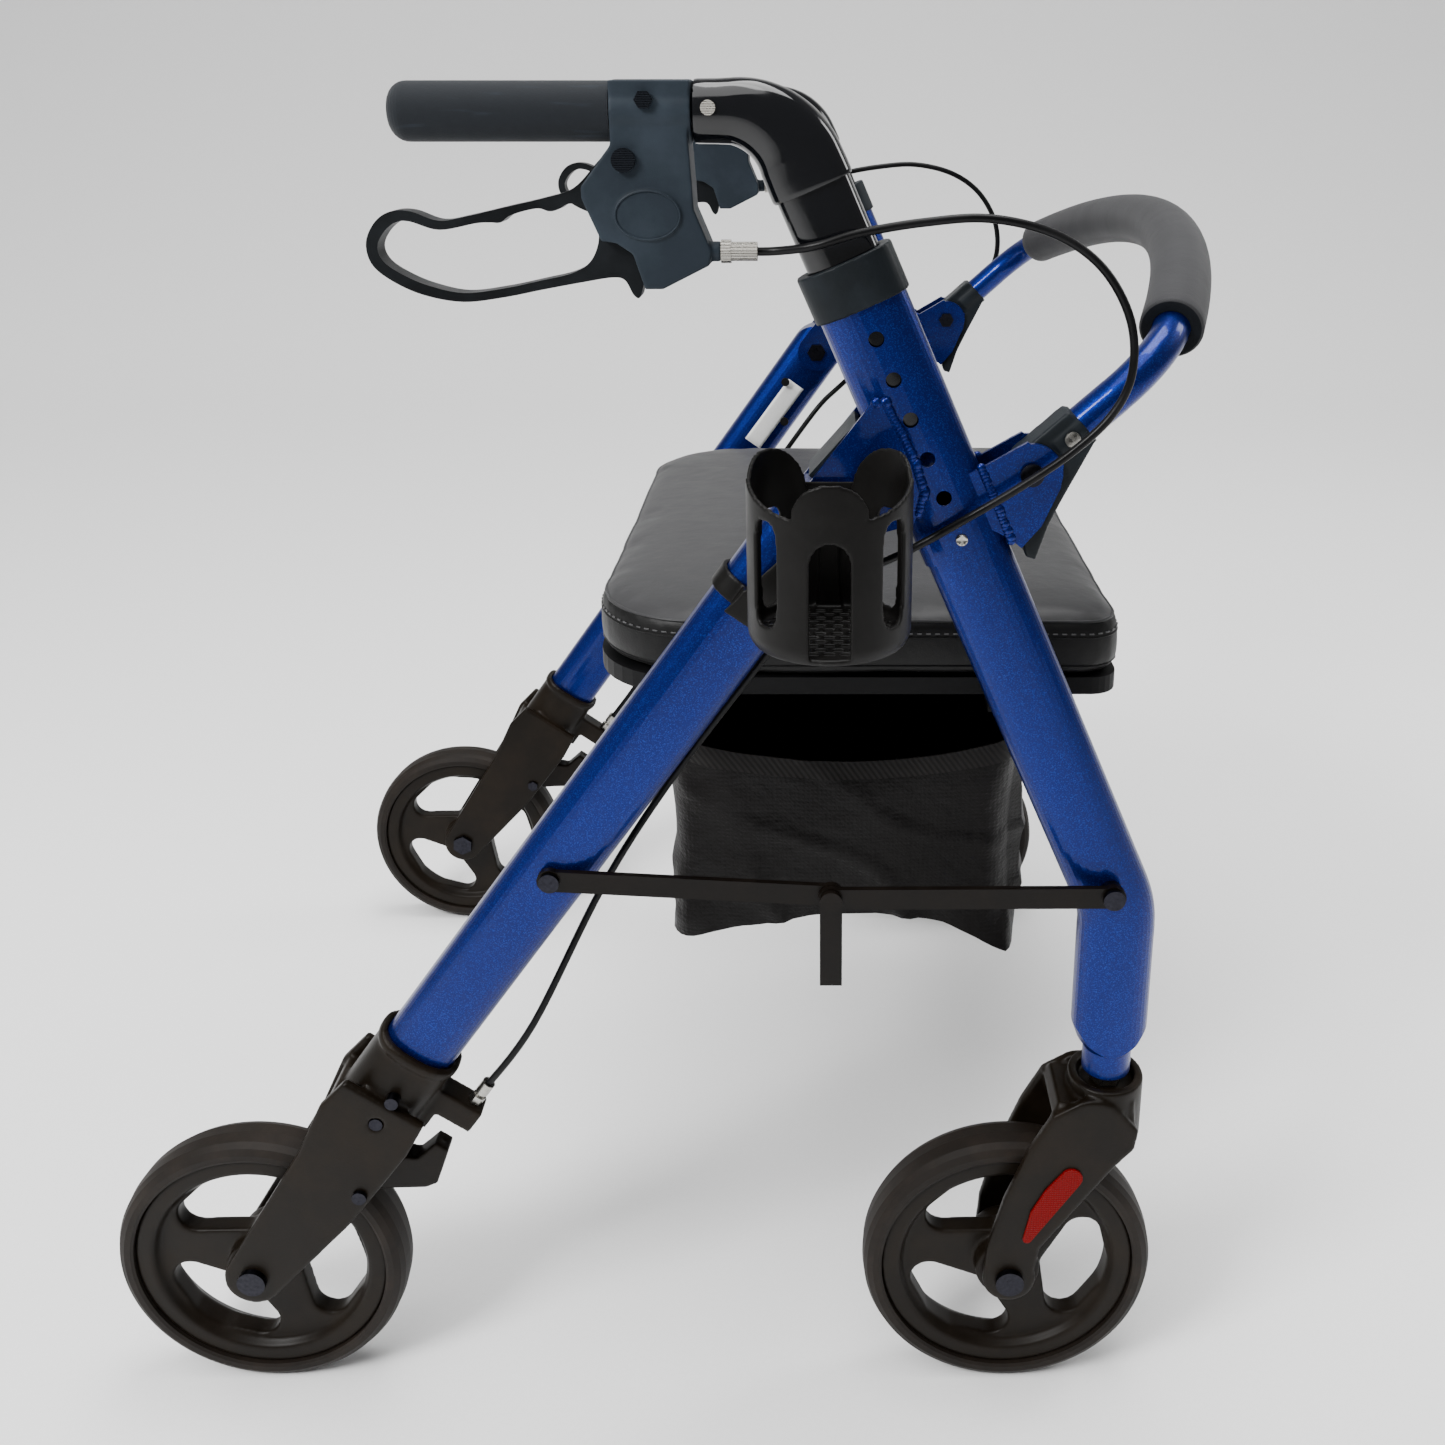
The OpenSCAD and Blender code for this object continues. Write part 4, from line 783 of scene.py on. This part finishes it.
# The cover rests flat on the pan.
for v in cushion.data.vertices:
    v.co.z = max(v.co.z, low.z)
cushion.data.materials.clear()
cushion.data.materials.append(vinyl)
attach(cushion, "seat")
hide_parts("seat_cushion")

cover = BVHTree.FromPolygons([v.co for v in cushion.data.vertices],
                             [list(p.vertices) for p in cushion.data.polygons])


def on_cover(p, z):
    """Where the cover's side is at that height, looking in from outside, and which way it faces."""
    start = Vector((p.x, p.y, z))
    centre = Vector((seat_middle.x, seat_middle.y, z))
    away = (start - centre).normalized()
    hit, normal, _, _ = cover.ray_cast(start + away * 0.05, -away)
    return hit, normal


thread, place = material("bonded_polyester_thread")
twist = add(thread, "ShaderNodeTexWave", {"Vector": place, "Scale": 900.0, "Distortion": 1.0})
thread_tone = add(thread, "ShaderNodeMix", {
    0: twist.outputs["Fac"], 6: linear("#0d0d0e"), 7: linear("#2b2b2d")}, data_type="RGBA")
surface(thread, add(thread, "ShaderNodeBsdfPrincipled", {
    "Base Color": thread_tone.outputs[2], "Roughness": 0.55, "Sheen Weight": 0.3}))
fine_rim = seat_rim(0.0030)
welt = [on_cover(p, SEAM_Z)[0] for p in fine_rim]
welt = [p for p in welt if p]
welt.append(welt[0])
piece_from("seat_welt", *tube_shape(welt, 0.0011, 8, closed_ends=False), vinyl, "seat", "seat_vinyl")
stitches = []
for k in range(0, len(fine_rim) - 2, 2):
    pair = [on_cover(fine_rim[k + i], SEAM_Z - 0.0075) for i in (0, 1)]
    if all(hit for hit, _ in pair):
        a, b = (hit + normal * 0.0002 for hit, normal in pair)
        mid = (a + b) / 2 + pair[0][1] * 0.0003
        stitches.append(tube_shape([a, mid, b], 0.00055, 6))
piece_from("seat_stitches", *merged(stitches), thread, "seat", "seat_vinyl")
# the sewn channel that the stitch row pulls in, and the boxing's lower seam
for name, drop, radius in (("seat_seam_channel", 0.0098, 0.0006), ("seat_lower_seam", 0.030, 0.0007)):
    line = [on_cover(p, SEAM_Z - drop)[0] for p in fine_rim]
    line = [p for p in line if p]
    line.append(line[0])
    piece_from(name, *tube_shape(line, radius, 6, closed_ends=False), vinyl, "seat", "seat_vinyl")

# ---- Backrest foam ----
# A thick split-free sleeve of closed-cell foam over the middle of the bar: smooth grey skin, black cut ends.
foam_skin, place = material("foam_skin")
pores = add(foam_skin, "ShaderNodeTexVoronoi", {"Vector": place, "Scale": 1100.0})
cloud = add(foam_skin, "ShaderNodeTexNoise", {"Vector": place, "Scale": 30.0, "Detail": 4.0})
foam_tone = add(foam_skin, "ShaderNodeMix", {
    0: cloud.outputs["Fac"], 6: linear("#242426"), 7: linear("#303032")}, data_type="RGBA")
pore_bump = add(foam_skin, "ShaderNodeBump", {
    "Height": pores.outputs["Distance"], "Strength": 0.35, "Distance": 0.0003})
dent_bump = add(foam_skin, "ShaderNodeBump", {
    "Height": cloud.outputs["Fac"], "Strength": 0.35, "Distance": 0.002, "Normal": pore_bump.outputs[0]})
surface(foam_skin, add(foam_skin, "ShaderNodeBsdfPrincipled", {
    "Base Color": foam_tone.outputs[2], "Roughness": 0.72, "Specular IOR Level": 0.25, "Sheen Weight": 0.06,
    "Sheen Roughness": 0.4, "Normal": dent_bump.outputs[0]}))
foam_cut = moulded_plastic("foam_cut_end", "#090b0e", "#12151a", 0.85, grain=0.0009, depth=0.0004)

BACK_SLOPE = math.radians(42)
BACK_BOLT = side_point(230.4, 0, 667.2, "near")
BOW_R, BACK_REACH, BEND_R, FOAM_R = 0.606, 0.174, 0.055, 0.019
bow_centre = BACK_REACH - BOW_R
half = TRACK / 2 - BEND_R
bend_u = bow_centre + math.sqrt((BOW_R - BEND_R) ** 2 - half ** 2)
sweep = math.atan2(half, bend_u - bow_centre)


def in_slope(u, v):
    """A point in the backrest's plane: u up the slope from its hinge line, v across."""
    return Vector((BACK_BOLT.x + u * math.cos(BACK_SLOPE), MID_Y + v, BACK_BOLT.z + u * math.sin(BACK_SLOPE)))


angles = [sweep * (k / 60 * 2 - 1) for k in range(61)]
axis_line = [in_slope(bow_centre + BOW_R * math.cos(a), BOW_R * math.sin(a)) for a in angles]
edge = [(0.0, 0.0114), (0.0, 0.0175), (0.0006, 0.0185), (0.0018, 0.0190)]
ahead = (axis_line[1] - axis_line[0]).normalized()
back = (axis_line[-1] - axis_line[-2]).normalized()
line = [axis_line[0] + ahead * s for s, _ in edge] + axis_line[1:-1] \
    + [axis_line[-1] - back * s for s, _ in reversed(edge)]
radii = [r for _, r in edge] + [FOAM_R] * (len(axis_line) - 2) + [r for _, r in reversed(edge)]
SIDES_ROUND = 40
vertices, faces = [], []
for k, p in enumerate(line):
    if k < len(edge):
        along = ahead
    elif k >= len(line) - len(edge):
        along = back
    else:
        along = (line[k + 1] - line[k - 1]).normalized()
    out = Vector((-math.sin(BACK_SLOPE), 0, math.cos(BACK_SLOPE)))
    across = along.cross(out).normalized()
    for i in range(SIDES_ROUND):
        a = 2 * math.pi * i / SIDES_ROUND
        soft = 1 + 0.012 * noise.noise(Vector((p.y * 9, math.cos(a) * 0.8, math.sin(a) * 0.8)))
        r = radii[k] * (soft if len(edge) <= k < len(line) - len(edge) else 1)
        vertices.append(p + r * (math.cos(a) * out + math.sin(a) * across))
for k in range(len(line) - 1):
    for i in range(SIDES_ROUND):
        j = (i + 1) % SIDES_ROUND
        faces.append([k * SIDES_ROUND + i, k * SIDES_ROUND + j, (k + 1) * SIDES_ROUND + j, (k + 1) * SIDES_ROUND + i])
foam = piece_from("backrest_foam_sleeve", vertices, faces, [foam_skin, foam_cut])
for polygon in foam.data.polygons:
    ring = polygon.index // SIDES_ROUND
    polygon.material_index = 1 if ring < 1 or ring >= len(line) - 2 else 0
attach(foam, "backrest")
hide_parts("backrest_foam")

# ---- Storage bag ----
# Open-topped bag of coated black nylon, hung from the two seat rails by webbing loops. Its sides sag between the
# loops, the cloth creases, and a twill binding is sewn round its mouth.
nylon, place = material("coated_nylon")
THREAD = 0.0016  # metres between threads, coarser than the real 0.4 mm so that it shows
warp = add(nylon, "ShaderNodeTexWave", {"Vector": place, "Scale": 1 / THREAD / 6.28, "Distortion": 0.3},
           wave_type="BANDS", bands_direction="Z")
weft = add(nylon, "ShaderNodeTexWave", {"Vector": place, "Scale": 1 / THREAD / 6.28, "Distortion": 0.3},
           wave_type="BANDS", bands_direction="X")
weave = add(nylon, "ShaderNodeMath", {0: warp.outputs["Fac"], 1: weft.outputs["Fac"]}, operation="MULTIPLY")
rumple = add(nylon, "ShaderNodeTexNoise", {"Vector": place, "Scale": 26.0, "Detail": 7.0, "Roughness": 0.62})
nylon_tone = add(nylon, "ShaderNodeMix", {
    0: rumple.outputs["Fac"], 6: linear("#030202"), 7: linear("#0a0706")}, data_type="RGBA")
weave_bump = add(nylon, "ShaderNodeBump", {"Height": weave.outputs[0], "Strength": 0.4, "Distance": 0.0003})
rumple_bump = add(nylon, "ShaderNodeBump", {
    "Height": rumple.outputs["Fac"], "Strength": 0.7, "Distance": 0.006, "Normal": weave_bump.outputs[0]})
nylon_gloss = add(nylon, "ShaderNodeMapRange", {"Value": rumple.outputs["Fac"], "To Min": 0.34, "To Max": 0.62})
surface(nylon, add(nylon, "ShaderNodeBsdfPrincipled", {
    "Base Color": nylon_tone.outputs[2], "Roughness": nylon_gloss.outputs[0],
    "Specular IOR Level": 0.14, "Sheen Weight": 0.01,
    "Sheen Roughness": 0.35, "Normal": rumple_bump.outputs[0]}))
twill, place = material("twill_binding")
slant = add(twill, "ShaderNodeMapping", {"Vector": place, "Rotation": (0.0, math.radians(35), 0.0)})
ribs = add(twill, "ShaderNodeTexWave", {"Vector": slant.outputs[0], "Scale": 90.0}, bands_direction="X")
twill_tone = add(twill, "ShaderNodeMix", {
    0: ribs.outputs["Fac"], 6: linear("#080707"), 7: linear("#171412")}, data_type="RGBA")
rib_bump = add(twill, "ShaderNodeBump", {"Height": ribs.outputs["Fac"], "Strength": 0.6, "Distance": 0.0005})
surface(twill, add(twill, "ShaderNodeBsdfPrincipled", {
    "Base Color": twill_tone.outputs[2], "Roughness": 0.7, "Specular IOR Level": 0.2, "Sheen Weight": 0.04,
    "Normal": rib_bump.outputs[0]}))

low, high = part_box("storage_bag")
BAG_X0, BAG_X1 = low.x + 0.002, high.x - 0.002
BAG_HALF, BAG_LOW, BAG_TOP = 0.199, low.z - 0.003, 0.452
BAG_ROUND = 0.022
bag_rim = []
for x, y, start in ((BAG_X1 - BAG_ROUND, BAG_HALF - BAG_ROUND, 0),
                    (BAG_X0 + BAG_ROUND, BAG_HALF - BAG_ROUND, 90),
                    (BAG_X0 + BAG_ROUND, -BAG_HALF + BAG_ROUND, 180),
                    (BAG_X1 - BAG_ROUND, -BAG_HALF + BAG_ROUND, 270)):
    for k in range(7):
        a = math.radians(start + 15 * k)
        bag_rim.append(Vector((x + BAG_ROUND * math.cos(a), y + BAG_ROUND * math.sin(a), 0)))
bag_line = []
for k, p in enumerate(bag_rim):
    q = bag_rim[(k + 1) % len(bag_rim)]
    n = max(1, round((q - p).length / 0.006))
    bag_line += [p.lerp(q, i / n) for i in range(n)]
BAG_MID_X = (BAG_X0 + BAG_X1) / 2
ROWS = 26


def bag_point(p, v):
    """The bag's wall under rim point p, v from 0 at the mouth to 1 at the floor's edge."""
    along = (p.x - BAG_MID_X) / (BAG_X1 - BAG_X0) * 2          # -1 rear, 1 front
    across = p.y / BAG_HALF
    top = BAG_TOP
    if abs(across) > 0.9:
        top -= 0.021 * (1 - along ** 2)
    else:
        top -= 0.006 * (1 - across ** 2)
    corner = max(0, abs(along) + abs(across) - 1.2)
    floor_z = BAG_LOW + 0.019 * (1 - corner / 0.8) ** 0.7 + 0.004 * noise.noise(Vector((p.x * 14, p.y * 14, 3)))
    floor_z -= max(0.0, corner - 0.4) / 0.4 * (0.018 if along > 0 else 0.008)       # the corners of the hem droop
    z = top + (floor_z - top) * v
    belly = math.sin(math.pi * min(1, v * 1.02)) ** 0.8
    out = Vector((p.x - BAG_MID_X, p.y, 0))
    wall = Vector((math.copysign(1, along), 0, 0)) if abs(across) < 0.9 else Vector((0, math.copysign(1, across), 0))
    ridge = 1 - 2 * abs(noise.noise(Vector((p.x * 11 + z * 7, p.y * 11 - z * 6, z * 10))))
    folds = (0.0060 * noise.noise(Vector((p.x * 16, p.y * 16, z * 9))) + 0.0045 * max(0.0, ridge - 0.72) / 0.28
             + 0.0020 * noise.noise(Vector((p.x * 40 + 7, p.y * 40, z * 26))))
    pinch = -0.010 * corner / 0.8 * math.sin(math.pi * v)
    swell = (0.012 if abs(across) < 0.9 and along > 0 else 0.003) * belly
    inset = 0.004 * v
    return Vector((p.x, MID_Y + p.y, z)) + wall * (folds * (0.35 + 0.65 * v) + swell - inset) \
        + out.normalized() * pinch


vertices = [bag_point(p, v / ROWS) for v in range(ROWS + 1) for p in bag_line]
n = len(bag_line)
faces = [[k * n + (i + 1) % n, k * n + i, (k + 1) * n + i, (k + 1) * n + (i + 1) % n]
         for k in range(ROWS) for i in range(n)]
# the floor: rings that close in on the middle and sag
FLOOR_RINGS = 12
last = [v.copy() for v in vertices[-n:]]
middle = Vector((BAG_MID_X, MID_Y, 0))
for ring in range(1, FLOOR_RINGS):
    t = ring / FLOOR_RINGS
    for q in last:
        p = q.lerp(Vector((middle.x, middle.y, q.z)), t)
        p.z = q.z + (BAG_LOW - 0.001 + 0.006 - q.z) * math.sin(math.pi / 2 * t) \
            + 0.004 * noise.noise(Vector((p.x * 12, p.y * 12, 5))) * t
        vertices.append(p)
    base = (ROWS + ring - 1) * n
    faces += [[base + (i + 1) % n, base + i, base + n + i, base + n + (i + 1) % n] for i in range(n)]
vertices.append(Vector((middle.x, middle.y, BAG_LOW + 0.005)))
base = (ROWS + FLOOR_RINGS - 1) * n
faces += [[base + (i + 1) % n, base + i, len(vertices) - 1] for i in range(n)]
bag = piece_from("bag_cloth", vertices, faces, nylon)
thicken(bag, 0.0009)
apply_modifiers(bag)
smooth_shaded(bag, 70)
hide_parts("storage_bag")
REAR_RAIL, FRONT_RAIL = (0.010, 0.483), (0.240, 0.483)

BIND_ROWS, BIND_STEP = 4, 0.0335      # rows of the binding's mesh, and the part of the wall between two
points = []
for k in range(BIND_ROWS):
    for p in bag_line:
        away = Vector((p.x - BAG_MID_X, p.y, 0)).normalized()
        points.append(bag_point(p, k * BIND_STEP) + away * 0.0011 + Vector((0, 0, 0.0006 if k == 0 else 0)))
tiles = [[k * n + (i + 1) % n, k * n + i, (k + 1) * n + i, (k + 1) * n + (i + 1) % n]
         for k in range(BIND_ROWS - 1) for i in range(n)]
binding = piece_from("bag_binding", points, tiles, twill, None, "nylon")
thicken(binding, 0.0014)
apply_modifiers(binding)
smooth_shaded(binding, 60)
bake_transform(bag)
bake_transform(binding)

# webbing loops over the rails: 25 mm polyester tape, box-stitched to the bag's mouth
for name, (rail_x, rail_z), wall_x, body in (("rear", REAR_RAIL, BAG_X0, "rear_frame"),
                                            ("front", FRONT_RAIL, BAG_X1, "front_frame")):
    way = -1 if name == "rear" else 1
    loops = []
    for y in (-0.144, 0.0, 0.144):
        line = [Vector((wall_x + way * 0.0022, 0, z)) for z in (0.424, 0.434, 0.444, 0.456, 0.470)]
        line += [Vector((rail_x + way * 0.0119 * math.cos(a), 0, rail_z + 0.0119 * math.sin(a)))
                 for a in [math.radians(k * 15) for k in range(0, 13)]]
        line += [Vector((rail_x - way * 0.0095, 0, 0.466)), Vector((rail_x + way * 0.004, 0, 0.455)),
                 Vector((wall_x - way * 0.0030, 0, 0.443)), Vector((wall_x - way * 0.0030, 0, 0.430))]
        strip = [p + Vector((0, MID_Y + y + e, 0)) for p in line for e in (-0.0125, -0.0042, 0.0042, 0.0125)]
        tiles = [[4 * k + i, 4 * k + i + 1, 4 * k + i + 5, 4 * k + i + 4]
                 for k in range(len(line) - 1) for i in range(3)]
        loops.append((strip, tiles))
    webbing = piece_from(f"bag_loops_{name}", *merged(loops), twill, None, "nylon")
    thicken(webbing, 0.0012)
    apply_modifiers(webbing)
    smooth_shaded(webbing, 60)
    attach(webbing, body)

# ---- Brake cables ----
# Steel inner wire in a black PVC sheath, 5 mm. Each bows forward from its lever, passes behind the sleeve and
# is clipped inside the rear leg down to the brake.
sheath = moulded_plastic("cable_pvc_sheath", "#0a0a0b", "#161617", 0.30, grain=0.004)
ROUTE = [(69, 8, 793), (84, 9, 793.2), (106, 20, 797), (130, 22, 804), (165, 24, 810), (200, 24, 812),
         (235, 24, 804), (262, 24, 786), (279, 24, 758), (282, 24, 728), (272, 24, 704), (250, 24, 682),
         (222, 24, 662), (192, 23, 643), (165, 20, 626), (143, 8, 611), (124, -10, 598), (104, -22, 580),
         (66, -24, 528), (10, -24, 450), (-34, -16, 380), (-82, 0, 286), (-118.7, 0, 234.1)]


def flowing(knots, steps=8):
    """A smooth line through the knots."""
    line = []
    for i in range(len(knots) - 1):
        a, b, c, d = (knots[max(0, min(len(knots) - 1, i + k))] for k in (-1, 0, 1, 2))
        for s in [k / steps for k in range(steps)]:
            line.append(0.5 * (2 * b + (c - a) * s + (2 * a - 5 * b + 4 * c - d) * s * s
                               + (3 * b - a - 3 * c + d) * s ** 3))
    return line + [knots[-1]]


BREAK = 10  # the knot where the upper run, which follows the handle, ends
for side in SIDES:
    knots = [side_point(x, out, z, side) for x, out, z in ROUTE]
    line = flowing(knots)
    cut = BREAK * 8
    upper = piece_from(f"cable_upper_{side}", *tube_shape(line[:cut + 1], 0.00245, 14), sheath, None, "cable_sheath")
    lower = piece_from(f"cable_lower_{side}", *tube_shape(line[cut:], 0.00245, 14), sheath, None, "cable_sheath")
    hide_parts(f"brake_cable_{side}")
    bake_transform(upper)
    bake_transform(lower)

# ---- Floor, light and camera ----
# Pale seamless paper swept up behind the walker, with large soft lights above and to the left.
paper, place = material("studio_paper")
fibre = add(paper, "ShaderNodeTexNoise", {"Vector": place, "Scale": 300.0, "Detail": 3.0})
paper_tone = add(paper, "ShaderNodeMix", {
    0: fibre.outputs["Fac"], 6: linear("#f2f2f2"), 7: linear("#f8f8f8")}, data_type="RGBA")
surface(paper, add(paper, "ShaderNodeBsdfPrincipled", {"Base Color": paper_tone.outputs[2], "Roughness": 0.9}))
profile = [(-4.0, 0.0), (3.0, 0.0)] + [(3.0 + 1.5 * math.sin(a), 1.5 - 1.5 * math.cos(a))
                                       for a in [math.radians(k * 9) for k in range(1, 11)]] + [(4.5, 5.0)]
vertices = [Vector((x, y, z)) for y, z in profile for x in (-6.0, 6.0)]
faces = [[2 * k, 2 * k + 1, 2 * k + 3, 2 * k + 2] for k in range(len(profile) - 1)]
floor = piece_from("studio_floor", vertices, faces, paper)

world = bpy.data.worlds.new("studio")
bpy.context.scene.world = world
world.use_nodes = True
world.node_tree.nodes["Background"].inputs["Color"].default_value = (1.0, 1.0, 1.0, 1.0)
world.node_tree.nodes["Background"].inputs["Strength"].default_value = 0.27


def softbox(name, at, size, power, target=(0.05, 0.0, 0.45)):
    light = bpy.data.lights.new(name, "AREA")
    light.shape = "RECTANGLE"
    light.size, light.size_y = size
    light.energy = power
    made = bpy.data.objects.new(name, light)
    bpy.context.scene.collection.objects.link(made)
    made.location = at
    made.rotation_euler = (Vector(target) - Vector(at)).to_track_quat("-Z", "Y").to_euler()


softbox("key_left", (-1.6, -1.7, 2.3), (0.9, 0.7), 92)
softbox("top", (0.3, 0.2, 3.0), (1.6, 1.2), 60)
softbox("rim_right", (2.2, 0.6, 1.9), (0.6, 1.2), 22)
# a broad overhead sun stands for the studio ceiling, and keeps the paper pale to its far edge
ceiling = bpy.data.lights.new("ceiling", "SUN")
ceiling.energy = 2.1
ceiling.angle = math.radians(50)
overhead = bpy.data.objects.new("ceiling", ceiling)
bpy.context.scene.collection.objects.link(overhead)
overhead.rotation_euler = (math.radians(14), math.radians(-12), 0)

view = bpy.data.cameras.new("view")
view.sensor_width = 36.0
view.lens = 34.83
view.shift_x, view.shift_y = -0.0696, -0.1332
view.clip_start = 0.02
camera = bpy.data.objects.new("camera", view)
bpy.context.scene.collection.objects.link(camera)
camera.location = (0.1105, MID_Y - 1.0835, 0.874)
camera.rotation_euler = (math.radians(90 - 17.184), 0, 0)
bpy.context.scene.camera = camera
